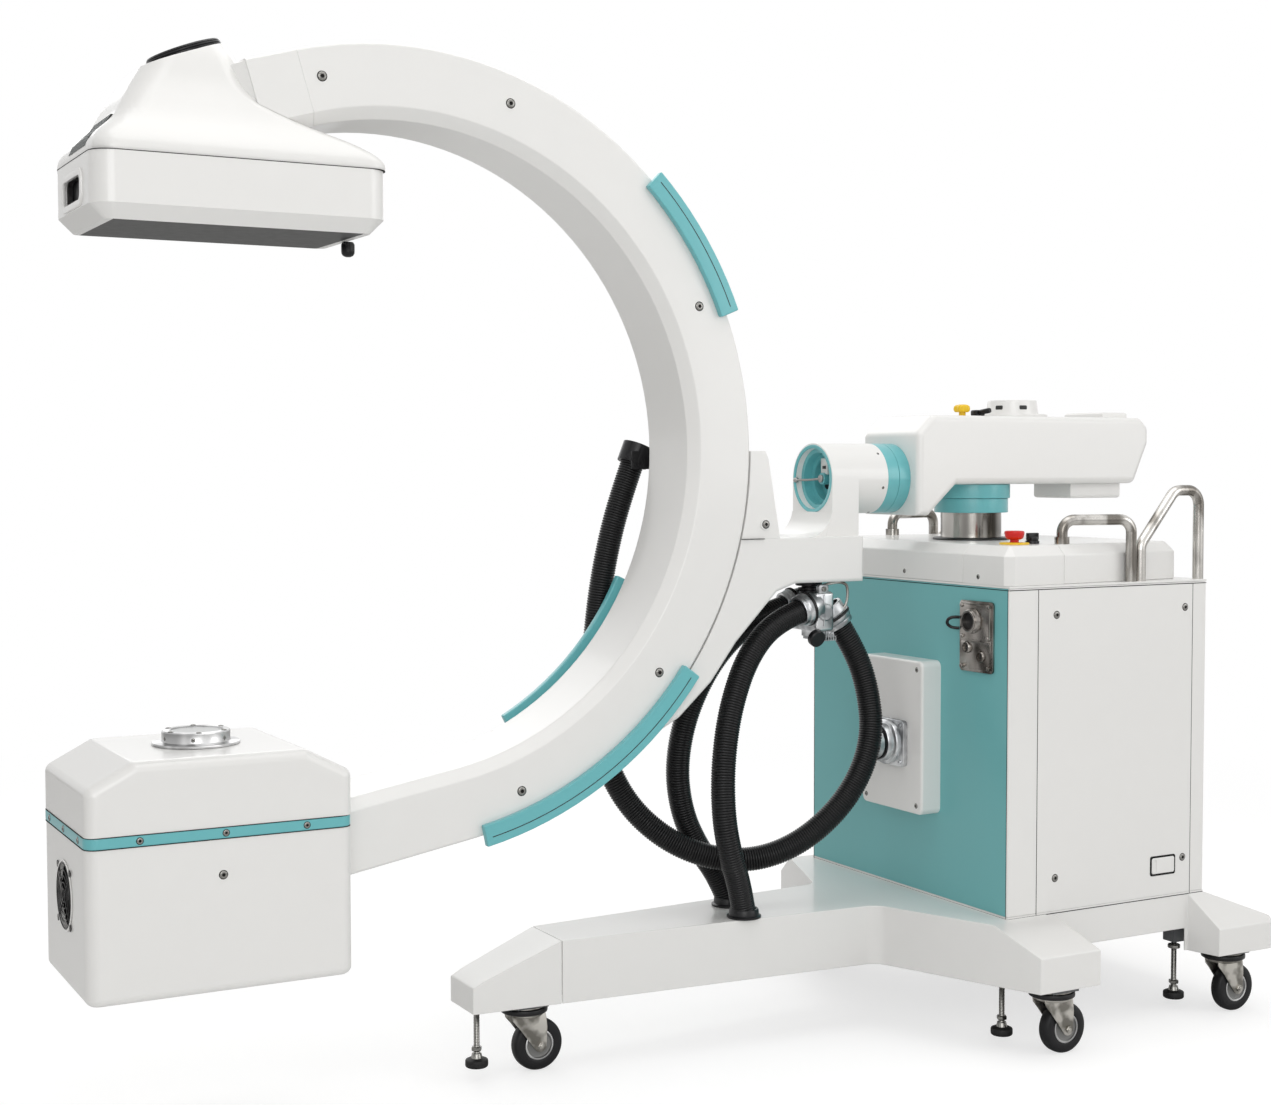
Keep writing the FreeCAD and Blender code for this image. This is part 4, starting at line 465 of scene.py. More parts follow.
def bent_rod(name, points, radius):
    """A round bar along a smooth line."""
    line = bpy.data.curves.new(name, "CURVE")
    line.dimensions = "3D"
    line.resolution_u = 8
    line.bevel_depth = radius / 1000
    line.bevel_resolution = 4
    line.use_fill_caps = True
    spline = line.splines.new("NURBS")
    spline.points.add(len(points) - 1)
    for point, place in zip(spline.points, points):
        point.co = (*place, 1)
    spline.order_u = 3
    spline.use_endpoint_u = True
    obj = bpy.data.objects.new(name, line)
    bpy.context.scene.collection.objects.link(obj)
    only(obj)
    bpy.ops.object.convert(target="MESH")
    return bpy.context.object


def only_part(obj, test):
    """Delete the vertices that fail a test."""
    edit(obj)
    pick(obj, "VERT", lambda v: not test(v.co))
    bpy.ops.mesh.delete(type="VERT")
    leave()
    return obj


def carve(piece, cutter):
    """Cut one closed shape out of another."""
    only(piece)
    room = piece.modifiers.new("room", "BOOLEAN")
    room.operation = "DIFFERENCE"
    room.solver = "EXACT"
    room.object = cutter
    bpy.ops.object.modifier_apply(modifier=room.name)
    drop(cutter)
    return piece


def even(piece):
    """Shade large faces flat and let the rounded edges carry the turn."""
    only(piece)
    weigh = piece.modifiers.new("even", "WEIGHTED_NORMAL")
    weigh.mode = "FACE_AREA"
    weigh.weight = 50
    weigh.keep_sharp = True
    bpy.ops.object.modifier_apply(modifier=weigh.name)
    return piece


def welded(node, name):
    """A copy of a solid's mesh, its triangles merged into whole faces."""
    source = NODES[node]
    made = bpy.data.objects.new(name, source.data.copy())
    made.data.name = name
    made.data.materials.clear()
    bpy.context.scene.collection.objects.link(made)
    edit(made)
    bpy.ops.mesh.customdata_custom_splitnormals_clear()
    bpy.ops.mesh.select_all(action="SELECT")
    bpy.ops.mesh.remove_doubles(threshold=0.00001)
    bpy.ops.mesh.dissolve_limited(angle_limit=math.radians(0.4))
    leave()
    return made


# ---------------------------------------------------------------- settings


class CArmLook(bpy.types.PropertyGroup):
    white: bpy.props.FloatVectorProperty(
        name="White", description="Paint of the covers and castings", subtype="COLOR", size=3,
        min=0, max=1, default=(0.80, 0.795, 0.78))
    teal: bpy.props.FloatVectorProperty(
        name="Teal", description="Paint of the front panel", subtype="COLOR", size=3,
        min=0, max=1, default=(0.155, 0.45, 0.462))
    bright_teal: bpy.props.FloatVectorProperty(
        name="Bright teal", description="Paint of the rings, guards and band", subtype="COLOR", size=3,
        min=0, max=1, default=(0.135, 0.46, 0.49))


class CArmHoses(bpy.types.PropertyGroup):
    diameter: bpy.props.FloatProperty(
        name="Diameter", description="Outer diameter of the corrugated hoses", unit="LENGTH",
        min=0.02, max=0.06, default=0.048)
    pitch: bpy.props.FloatProperty(
        name="Rib pitch", description="Distance from rib to rib", unit="LENGTH",
        min=0.003, max=0.02, default=0.0052)
    groove: bpy.props.FloatProperty(
        name="Groove depth", description="Depth of the valley between two ribs", unit="LENGTH",
        min=0.001, max=0.006, default=0.0017)


# ---------------------------------------------------------------- stage


class CARM_OT_stage(bpy.types.Operator):
    """Floor, lamps, world and the camera at the photograph's angle"""

    bl_idname = "carm.stage"
    bl_label = "Stage"

    def execute(self, context):
        scene = context.scene
        scene.view_settings.view_transform = "Standard"
        floor = start("floor", bpy.ops.mesh.primitive_plane_add, size=60)
        finish = Finish("floor_white", (0.86, 0.86, 0.86), 0.7)
        seen = finish.node("ShaderNodeLightPath", output="Is Camera Ray")
        output = finish.tree.nodes["Material Output"]
        reach = finish.node("ShaderNodeVectorMath", {"operation": "LENGTH"}, {0: finish.place()},
                            output=1)
        near = finish.node("ShaderNodeMapRange", {"interpolation_type": "SMOOTHSTEP"},
                           {"Value": reach, "From Min": 1.6, "From Max": 4.5, "To Min": 1.0,
                            "To Max": 0.0})
        glow = finish.node("ShaderNodeEmission", inputs={"Color": (1, 1, 1, 1), "Strength": 0.66})
        matt = finish.node("ShaderNodeBsdfDiffuse", inputs={"Color": (0.44, 0.44, 0.44, 1)})
        lit = finish.node("ShaderNodeAddShader", inputs={0: glow, 1: matt})
        white = finish.node("ShaderNodeEmission", inputs={"Color": (1, 1, 1, 1), "Strength": 1.0})
        shown = finish.node("ShaderNodeMixShader", inputs={0: near, 1: white, 2: lit})
        bounce = finish.node("ShaderNodeBsdfDiffuse", inputs={"Color": (0.82, 0.82, 0.82, 1)})
        mixed = finish.node("ShaderNodeMixShader", inputs={0: seen, 1: bounce, 2: shown})
        finish.tree.links.new(mixed.socket, output.inputs["Surface"])
        floor.data.materials.append(finish.material)
        self.light_world(scene)
        self.add_lamp("lamp_over", (0.0, -0.4, 4.2), (0, 0, 0.6), 3.6, 58)
        self.add_lamp("lamp_left", (-2.2, -4.4, 2.3), (-0.5, 0, 0.9), 2.6, 62)
        self.add_lamp("lamp_right", (3.4, -3.6, 2.2), (0.4, 0, 0.8), 2.4, 34)
        self.add_lamp("lamp_back", (0.6, 4.0, 3.2), (0, 0, 1.0), 3.0, 36)
        self.add_camera(scene)
        return {"FINISHED"}

    @staticmethod
    def light_world(scene):
        """White behind the machine, softer light on it."""
        world = bpy.data.worlds.new("studio")
        scene.world = world
        world.use_nodes = True
        tree = world.node_tree
        tree.nodes.clear()
        path = tree.nodes.new("ShaderNodeLightPath")
        shown = tree.nodes.new("ShaderNodeMath")
        shown.operation = "MAXIMUM"
        also = tree.nodes.new("ShaderNodeMath")
        also.operation = "MAXIMUM"
        soft = tree.nodes.new("ShaderNodeBackground")
        soft.inputs["Color"].default_value = (1.0, 0.99, 0.97, 1)
        soft.inputs["Strength"].default_value = 0.5
        white = tree.nodes.new("ShaderNodeBackground")
        white.inputs["Strength"].default_value = 1.0
        white.inputs["Color"].default_value = (1, 1, 1, 1)
        mix = tree.nodes.new("ShaderNodeMixShader")
        output = tree.nodes.new("ShaderNodeOutputWorld")
        tree.links.new(path.outputs["Is Camera Ray"], shown.inputs[0])
        tree.links.new(path.outputs["Is Glossy Ray"], also.inputs[0])
        tree.links.new(path.outputs["Is Transmission Ray"], also.inputs[1])
        tree.links.new(also.outputs[0], shown.inputs[1])
        tree.links.new(shown.outputs[0], mix.inputs[0])
        tree.links.new(soft.outputs[0], mix.inputs[1])
        tree.links.new(white.outputs[0], mix.inputs[2])
        tree.links.new(mix.outputs[0], output.inputs["Surface"])

    @staticmethod
    def add_lamp(name, at, towards, size, watts):
        lamp = bpy.data.lights.new(name, "AREA")
        lamp.shape = "SQUARE"
        lamp.size = size
        lamp.energy = watts
        obj = bpy.data.objects.new(name, lamp)
        obj.location = at
        obj.rotation_euler = (Vector(towards) - Vector(at)).to_track_quat("-Z", "Y").to_euler()
        bpy.context.scene.collection.objects.link(obj)

    @staticmethod
    def add_camera(scene):
        """A camera set by a fit to the cabinet, the C, the tube housing and the casters."""
        yaw, pitch, roll = (math.radians(a) for a in (28.4636, 2.6385, -0.0877))
        forward = Vector((math.sin(yaw) * math.cos(pitch), math.cos(yaw) * math.cos(pitch),
                          -math.sin(pitch)))
        level = Vector((math.cos(yaw), -math.sin(yaw), 0))
        upright = level.cross(forward)
        right = level * math.cos(roll) + upright * math.sin(roll)
        up = upright * math.cos(roll) - level * math.sin(roll)
        camera = bpy.data.cameras.new("camera")
        camera.sensor_fit = "HORIZONTAL"
        camera.sensor_width = 36
        camera.lens = 36 * 1885.38 / 1271
        camera.clip_end = 100
        obj = bpy.data.objects.new("camera", camera)
        turn = Matrix((right, up, -forward)).transposed().to_4x4()
        turn.translation = (ahead(2.3798), -3.2055, 1.1475)
        obj.matrix_world = turn
        scene.collection.objects.link(obj)
        scene.camera = obj


# ---------------------------------------------------------------- hoses

HOSE_ROUTES = {
    "hose_lead": ("carriage", 1.667, [
        (0.206, -0.030, 0.850), (0.166, -0.042, 0.788), (0.142, -0.066, 0.706), (0.144, -0.092, 0.594),
        (0.196, -0.094, 0.488), (0.286, -0.078, 0.404), (0.384, -0.050, 0.362), (0.476, -0.010, 0.366),
        (0.556, 0.040, 0.404), (0.620, 0.092, 0.478), (0.656, 0.128, 0.588), (0.665, 0.140, 0.720),
        (0.655, 0.140, 0.850), (0.633, 0.140, 0.973), (0.601, 0.140, 1.084), (0.560, 0.140, 1.186)]),
    "hose_supply_near": ("base", 0.722, [
        (0.262, -0.040, 0.862), (0.344, -0.046, 0.842), (0.420, -0.058, 0.778), (0.470, -0.072, 0.678),
        (0.496, -0.086, 0.572), (0.500, -0.094, 0.468), (0.482, -0.092, 0.386), (0.454, -0.080, 0.324),
        (0.438, -0.070, 0.266)]),
    "hose_supply_far": ("base", 0.754, [
        (0.254, 0.022, 0.866), (0.344, 0.028, 0.846), (0.434, 0.040, 0.774), (0.494, 0.054, 0.664),
        (0.516, 0.064, 0.550), (0.502, 0.066, 0.450), (0.468, 0.056, 0.374), (0.430, 0.042, 0.318),
        (0.412, 0.032, 0.267)]),
}


class CARM_OT_hoses(bpy.types.Operator):
    """Three corrugated hoses, each one rib repeated along its route"""

    bl_idname = "carm.hoses"
    bl_label = "Hoses"

    def execute(self, context):
        sizes = context.scene.carm_hoses
        for node, (body, length, route) in HOSE_ROUTES.items():
            points = [Vector((ahead(x), y, z)) for x, y, z in route]
            line = self.route_line(node + "_route", points)
            path = self.points_on(line)
            measured = sum((b - a).length for a, b in zip(path, path[1:]))
            hose = self.ribbed(node + "_ribbed", line, measured, sizes)
            finished(hose, body, "hose_rubber", [node])
            drop(line)
        return {"FINISHED"}

    @staticmethod
    def route_line(name, points):
        """The route as one smooth open curve."""
        line = bpy.data.curves.new(name, "CURVE")
        line.dimensions = "3D"
        line.resolution_u = 24
        spline = line.splines.new("NURBS")
        spline.points.add(len(points) - 1)
        for point, place in zip(spline.points, points):
            point.co = (*place, 1)
        spline.order_u = 3
        spline.use_endpoint_u = True
        obj = bpy.data.objects.new(name, line)
        bpy.context.scene.collection.objects.link(obj)
        return obj

    @staticmethod
    def points_on(line):
        """The points of the evaluated curve, in order."""
        bpy.context.view_layer.update()
        mesh = bpy.data.meshes.new_from_object(line.evaluated_get(bpy.context.evaluated_depsgraph_get()))
        points = [v.co.copy() for v in mesh.vertices]
        bpy.data.meshes.remove(mesh)
        return points

    @staticmethod
    def ribbed(name, line, length, sizes):
        """One rib out of a short open cylinder, then an array of it bent along the route."""
        count = round(length / sizes.pitch)
        pitch = length / count
        crest = sizes.diameter / 2
        valley = crest - sizes.groove
        rib = start(name, bpy.ops.mesh.primitive_cylinder_add, vertices=26, radius=valley, depth=pitch,
                    end_fill_type="NOTHING", location=(pitch / 2, 0, 0), rotation=TURNS["X"])
        edit(rib)
        pick(rib, "EDGE", lambda e: abs(e.verts[0].co.x - e.verts[1].co.x) > pitch / 2)
        bpy.ops.mesh.subdivide(number_cuts=4)
        pick(rib, "VERT", lambda v: 0.3 * pitch < v.co.x < 0.7 * pitch)
        ratio = crest / valley
        bpy.ops.transform.resize(value=(1, ratio, ratio), center_override=(pitch / 2, 0, 0))
        pick(rib, "VERT", lambda v: 0.1 * pitch < v.co.x < 0.3 * pitch or 0.7 * pitch < v.co.x < 0.9 * pitch)
        ratio = (crest - sizes.groove * 0.35) / valley
        bpy.ops.transform.resize(value=(1, ratio, ratio), center_override=(pitch / 2, 0, 0))
        leave()
        only(rib)
        repeat = rib.modifiers.new("repeat", "ARRAY")
        repeat.count = count
        repeat.use_relative_offset = False
        repeat.use_constant_offset = True
        repeat.constant_offset_displace = (pitch, 0, 0)
        repeat.use_merge_vertices = True
        repeat.merge_threshold = 0.0001
        bpy.ops.object.modifier_apply(modifier=repeat.name)
        follow = rib.modifiers.new("follow", "CURVE")
        follow.object = line
        follow.deform_axis = "POS_X"
        bpy.ops.object.modifier_apply(modifier=follow.name)
        edit(rib)
        pick(rib, "EDGE", lambda e: e.is_boundary)
        bpy.ops.mesh.edge_face_add()
        bpy.ops.mesh.select_all(action="SELECT")
        bpy.ops.mesh.normals_make_consistent(inside=False)
        leave()
        return rib


# ---------------------------------------------------------------- finishes on the solids


class CARM_OT_finishes(bpy.types.Operator):
    """Paint, metal and rubber on every solid"""

    bl_idname = "carm.finishes"
    bl_label = "Finishes"

    def execute(self, context):
        FINISHES.update(make_finishes(context.scene.carm_look))
        for node, obj in NODES.items():
            obj.data.materials.clear()
            obj.data.materials.append(FINISHES[SLOTS[node]])
        return {"FINISHED"}


# Nodes whose own mesh is dressed: the radius of their edges in metres.
SOFT_EDGES = {
    "base_cover": 0.005, "front_leg_cap": 0.005, "cabinet_frame": 0.001, "front_panel": 0.0,
    "cabinet_panels": 0.0, "top_lid": 0.003, "lid_corner_cover": 0.003, "front_box": 0.001,
    "column_outer": 0.0008, "column_inner": 0.0015, "swivel_head": 0.0015, "arm_housing": 0.0012,
    "arm_fittings": 0.0015, "flip_ring_rear": 0.0015, "flip_ring_front": 0.0015,
    "carriage_body": 0.003, "pivot_cup": 0.0008, "carriage_cheek": 0.003, "hose_clamps": 0.0015,
    "c_rail": 0.003, "c_end_cap": 0.003, "teal_guards": 0.003, "detector_cover": 0.001,
    "detector_tray": 0.002, "tube_housing": 0.001, "tube_cover": 0.001, "fan_guard": 0.0,
    "push_handles": 0.0,
}
RING_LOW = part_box("swivel_head")[0].z - 0.0304
FLIP_Z = (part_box("flip_ring_front")[0].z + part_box("flip_ring_front")[1].z) / 2


def open_cup(piece):
    """Clear the wall in front of the barrel and lean its foot forward."""
    mid = FLIP_Z * 1000
    outline = [(-270, mid + 80), (-231.9, mid + 80), (-231.9, mid - 66), (-247.2, mid - 115.9),
               (-270, mid - 115.9)]
    return carve(piece, plate("cup_room", "Y", outline, -90, 90))


def open_slot(piece):
    """Widen the grip opening in the left end of the detector tray."""
    left = (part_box("detector_tray")[0].x - FRONT) * 1000
    room = plate("slot_room", "X", round_box((-66, 66), (1580, 1624), 12), left - 5, left + 44)
    return carve(piece, room)


def shorten_box(piece):
    """The box under the arm starts behind the middle of the arm."""
    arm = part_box("arm_housing")[0].z * 1000
    carve(piece, block_mm("box_room", (380, 452), (-80, 80), (arm - 60, arm - 0.3)))
    return carve(piece, block_mm("box_side_room", (440, 560), (-30, 80), (arm - 60, arm - 0.3)))


def narrow_box(piece):
    """The near wall of the front box stands closer to the cable flange."""
    for vertex in piece.data.vertices:
        if vertex.co.y < -0.1:
            vertex.co.y += 0.06
    return piece


def close_window(piece):
    """Take the latch pocket out of the left panel; the latch is modelled on its own."""
    low, high = at(401, -345, 317), at(463, -325, 355)
    edit(piece)
    pick(piece, "VERT", lambda v: all(low[i] < v.co[i] < high[i] for i in range(3)))
    bpy.ops.mesh.delete(type="VERT")
    pick(piece, "EDGE", lambda e: e.is_boundary)
    bpy.ops.mesh.fill_holes(sides=0)
    bpy.ops.mesh.select_all(action="SELECT")
    bpy.ops.mesh.normals_make_consistent(inside=False)
    leave()
    return piece


RESHAPED = {
    "carriage_body": open_cup, "detector_tray": open_slot, "arm_fittings": shorten_box,
    "front_box": narrow_box, "cabinet_panels": close_window,
}


class CARM_OT_covers(bpy.types.Operator):
    """Covers, castings and panels with rounded edges and smooth curves"""

    bl_idname = "carm.covers"
    bl_label = "Covers"

    def execute(self, context):
        for node, radius in SOFT_EDGES.items():
            piece = welded(node, node + "_dressed")
            if node == "hose_clamps":
                only_part(piece, lambda at_: at_.x < ahead(0.36))
            elif node == "fan_guard":
                only_part(piece, lambda at_: at_.x > TUBE_END + 0.001)
            elif node in RESHAPED:
                RESHAPED[node](piece)
            if radius:
                soften(piece, radius)
            finish = "black_plastic" if node == "hose_clamps" else None
            even(finished(piece, BODIES[node], SLOTS[node], [node], finish))
            if node == "column_inner":
                two_tone(piece, "teal_metal", lambda c: c.z > RING_LOW - 0.0002)
        return {"FINISHED"}


# ---------------------------------------------------------------- casters and feet

PIVOTS = {
    "front": (-884, 0), "left": (62, -400), "right": (62, 400), "rear_left": (570, -350),
    "rear_right": (570, 350),
}
FEET = {
    "front": (-982, 0), "left": (8, -316), "right": (8, 316), "rear_left": (494, -286),
    "rear_right": (494, 286),
}


class CARM_OT_casters(bpy.types.Operator):
    """Swivel forks, tyres and hubs, each modelled once and copied to its place"""

    bl_idname = "carm.casters"
    bl_label = "Casters"

    def execute(self, context):
        home = at(0, 0, 0)
        fork, seal, tyre, hub = self.fork(), self.seal(), self.tyre(), self.hub()
        rims = self.bright_rims()
        for where, (x, y) in PIVOTS.items():
            move = Matrix.Translation(at(x, y, 0) - home)
            fork_node, wheel_node = "caster_fork_" + where, "caster_wheel_" + where
            made = copy_at(fork, "fork_steel_" + where, move)
            finished(made, BODIES[fork_node], SLOTS[fork_node], [fork_node], "pressed_steel")
            made = copy_at(seal, "race_seal_" + where, move)
            finished(made, BODIES[fork_node], "black_plastic")
            made = copy_at(tyre, "tyre_" + where, move)
            finished(made, BODIES[wheel_node], SLOTS[wheel_node], [wheel_node])
            made = copy_at(hub, "hub_" + where, move)
            finished(made, BODIES[wheel_node], "grey_steel", finish="wheel_disc")
            made = copy_at(rims, "rim_rings_" + where, move)
            finished(made, BODIES[wheel_node], "stainless", finish="turned_aluminium")
        for master in (fork, seal, tyre, hub, rims):
            drop(master)
        return {"FINISHED"}

    @staticmethod
    def fork():
        """Two tapering cheeks under a round crown, with the axle bolt through both."""
        side = ([(-33, 114), (-31, 103), (-20, 90)] + arc(26, 50, 13, 213, 372, 14)
                + [(40, 84), (38, 104), (36, 114)])
        pieces = []
        for low in (-19.5, 16.5):
            cheek = plate("cheek", "Y", side, low, low + 3)
            pieces.append(soften(cheek, 0.0009))
        crown = turned("crown", [(0, 108), (30, 108), (36, 110.5), (38, 113.5), (38, 115.4),
                                 (0, 115.4)], 48)
        pieces.append(standing(crown, at(0, 0, 0)))
        race = turned("race", [(0, 115), (30, 115), (30, 126.6), (39, 126.8), (40.5, 127.4),
                               (40.5, 129.2),
                               (39.5, 129.7), (0, 129.7)], 48)
        pieces.append(standing(race, at(0, 0, 0)))
        for hand in (-1, 1):
            nut = turned("nut", [(0, 4.5), (5.5, 4.5), (7, 3.4), (7, 0), (0, 0)], 6)
            pieces.append(standing(nut, at(26, 19.5 * hand, 50), (0, hand, 0)))
            end = turned("bolt_end", [(0, 6.2), (2.6, 6.2), (3.4, 5.6), (3.4, 0), (0, 0)], 20)
            pieces.append(standing(end, at(26, 19.5 * hand, 50), (0, hand, 0)))
        return joined("fork_master", pieces)

    @staticmethod
    def seal():
        """The black dust ring of the swivel race."""
        ring = turned("seal_master", [(30, 115.2), (42, 115.6), (44.4, 117), (45, 119.4), (45, 123),
                                      (44, 125.6), (41, 126.6), (30, 126.6)], 56)
        return standing(ring, at(0, 0, 0))

    @staticmethod
    def tyre():
        """A soft tread with rounded shoulders and a lip on each side."""
        half = [(28, 11.6), (29.5, 13.2), (33, 14), (42.5, 14), (46, 12.8), (48.4, 10.4),
                (49.7, 6.6), (50, 2.5)]
        ring = turned("tyre_master", half + [(r, -h) for r, h in reversed(half)], 64)
        return standing(ring, at(26, 0, 50), (0, -1, 0))

    @staticmethod
    def bright_rims():
        """The polished ring on each side, where the tyre meets the disc."""
        rings = [standing(turned("rim", [(24.6, 9), (24.9, 12.6), (26, 14), (27.6, 14.3),
                                         (29, 13.6), (29.2, 12)],
                                 48), at(26, 0, 50), (0, side, 0)) for side in (-1, 1)]
        return joined("bright_rim_master", rings)

    @staticmethod
    def hub():
        """The wheel disc: a bright rim, a dished web and a boss round the axle."""
        half = [(0, 15.2), (8, 15.2), (9, 14.2), (9.6, 11.8), (20, 10.2), (24.2, 10.4), (25, 11),
                (28.1, 11)]
        disc = turned("hub_master", half + [(r, -h) for r, h in reversed(half)], 56)
        return standing(disc, at(26, 0, 50), (0, -1, 0))


class CARM_OT_feet(bpy.types.Operator):
    """Levelling feet: a threaded post, its lock nut and a wide rubber pad"""

    bl_idname = "carm.feet"
    bl_label = "Levelling feet"

    def execute(self, context):
        home = at(0, 0, 0)
        thread = [(0, 36)]
        for i in range(38):
            thread += [(5.2, 37 + 3 * i), (6, 38.2 + 3 * i)]
        post = standing(turned("post_master", thread + [(5.2, 152), (0, 152)], 16), home)
        nut = turned("nut", [(0, 62), (9, 62), (10.4, 60.6), (10.4, 55.4), (9, 54), (0, 54)], 6)
        boss = turned("boss", [(0, 50), (8, 50), (9, 49), (11, 40), (14, 38), (0, 38)], 28)
        collar = turned("collar", [(0, 137.6), (12, 137.6), (13, 136.6), (13, 131), (12, 130),
                                   (0, 130)], 28)
        post = joined("post_master", [post] + [standing(p, home) for p in (nut, boss, collar)])
        pad = turned("pad_master", [(0, 24), (19.5, 24), (21, 25.2), (21.6, 27), (21.6, 35.5),
                                    (20.6, 37.4),
                                    (14, 40.4), (0, 40.8)], 44)
        pad = standing(pad, home)
        for where, (x, y) in FEET.items():
            node = "levelling_foot_" + where
            move = Matrix.Translation(at(x, y, 0) - home)
            made = copy_at(post, "foot_post_" + where, move)
            finished(made, BODIES[node], SLOTS[node], [node], "bright_steel")
            made = copy_at(pad, "foot_pad_" + where, move)
            finished(made, BODIES[node], "pad_rubber")
        drop(post)
        drop(pad)
        return {"FINISHED"}


# ---------------------------------------------------------------- screws

TUBE_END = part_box("tube_housing")[0].x
C_CENTRE = (-1150, 1172.4)


def around(radius, angles):
    """Places on the C's bolt circle."""
    return [(C_CENTRE[0] + radius * math.cos(math.radians(a)),
             C_CENTRE[1] + radius * math.sin(math.radians(a))) for a in angles]


def screw_rows():
    """Body, name, replaced nodes, head radius, then every place with the way that it faces."""
    sides = [(x, z) for x, z in ((119, 852), (461, 855), (120, 328), (461, 336))]
    box = [(y, z) for y in (-108, 66) for z in (450, 730)]
    band = [(-1644, 542.5), (-1502, 542.5), (-1363, 542.5)]
    bolts = around(657, (103.2, 72, 25, -39.4, -70.5))
    lid_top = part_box("top_lid")[1].z * 1000
    barrel = [(math.cos(math.radians(a)), math.sin(math.radians(a))) for a in range(15, 375, 60)]
    ring_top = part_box("collimator_ring")[1].z * 1000
    ring = [(math.cos(math.radians(a)), math.sin(math.radians(a))) for a in range(20, 380, 60)]
    flip = FLIP_Z * 1000
    return [
        ("base", "cabinet_screws", (), 7.0,
         [((x, s * 340, z), (0, s, 0)) for x, z in sides for s in (-1, 1)]),
        ("base", "box_screws", (), 4.6, [((-48, y, z), (-1, 0, 0)) for y, z in box]),
        ("base", "lid_screws", (), 4.2,
         [((0, y, 926), (-1, 0, 0)) for y in (-243, 0, 243)]),
        ("base", "leg_screws", (), 3.2,
         [((-815, s * 62, 148), (0.1, s, 0)) for s in (-1, 1)]
         + [((-838, s * 60.5, 146), (0.1, s, 0)) for s in (-1, 1)]),
        ("c_arm", "band_screws", (), 5.4,
         [((x, s * 166.2, z), (0, s, 0)) for x, z in band for s in (-1, 1)]
         + [((-1731.2, y, 542.5), (-1, 0, 0)) for y in (-112, 0, 112)]),
        ("c_arm", "housing_bolts", (), 6.8, [((-1507, s * 165, 473), (0, s, 0)) for s in (-1, 1)]),
        ("c_arm", "rail_bolts", ("c_face_bolts",), 8.0,
         [((x, s * 95, z), (0, s, 0)) for x, z in bolts for s in (-1, 1)]),
        ("c_arm", "ring_screws", (), 4.2,
         [((-1505 + 51.5 * c, 51.5 * n, ring_top), (0, 0, 1)) for c, n in ring]),
        ("c_arm", "ring_grub_screws", (), 3.0,
         [((-1505 + 58 * n, 58 * c, ring_top - 12), (n, c, 0)) for c, n in ring]),
        ("c_arm", "fan_screws", (), 3.6,
         [((-1731.6, 46 * y, 430 + 46 * z), (-1, 0, 0)) for y in (-1, 1) for z in (-1, 1)]),
        ("carriage", "cheek_screws", (), 7.4,
         [((-404, s * 95, flip - 88), (0, s, 0)) for s in (-1, 1)]),
        ("carriage", "barrel_screws", (), 2.6,
         [((-106, 72 * c, flip + 72 * n), (0, c, n)) for c, n in barrel]),
        ("base", "stop_cover_screws", (), 3.0, [((30, -300, lid_top - 14), (-0.7, 0, 0.7))]),
    ]


class CARM_OT_screws(bpy.types.Operator):
    """Socket screws along the seams, one modelled and the rest copied"""

    bl_idname = "carm.screws"
    bl_label = "Screws"

    def execute(self, context):
        master = turned("screw_master", [(0, -0.02), (0.42, -0.02), (0.46, 0.26), (0.72, 0.28),
                                         (0.92, 0.2), (1.0, 0.06), (1.0, -0.12), (0, -0.12)], 24)
        for vertex in master.data.vertices:
            radius = math.hypot(vertex.co.x, vertex.co.y)
            if 0.0003 < radius < 0.0005:
                turn = math.degrees(math.atan2(vertex.co.y, vertex.co.x)) % 60 - 30
                vertex.co.xy *= 0.9 / math.cos(math.radians(turn))
        for body, name, nodes, radius, places in screw_rows():
            pieces = [copy_at(master, name, Matrix.Translation(at(*place)) @ turn_to(way)
                              @ Matrix.Scale(radius, 4)) for place, way in places]
            piece = finished(joined(name, pieces), body, "zinc_steel", nodes, "bright_steel", 40)
            centres = [(at(*place), Vector(way).normalized()) for place, way in places]
            # painted shade: the floor of each hex socket gets the near-black shadow finish
            two_tone(piece, "shadow_gap", lambda c: any(
                (c - spot - way * (c - spot).dot(way)).length < radius * 0.0004
                and (c - spot).dot(way) > -radius * 0.00005 for spot, way in centres))
            # painted shade: a near-black ring round each head stands for the shade where the head sits on
            # the cover
            rims = [standing(turned("rim", [(0, 0.14), (1.02 * radius, 0.14), (1.16 * radius, 0.02),
                                            (1.16 * radius, -0.3), (0, -0.3)], 24), at(*place), way)
                    for place, way in places]
            finished(joined(name + "_seats", rims), body, "black_plastic", finish="shadow_gap")
        drop(master)
        return {"FINISHED"}


# ---------------------------------------------------------------- column and controls


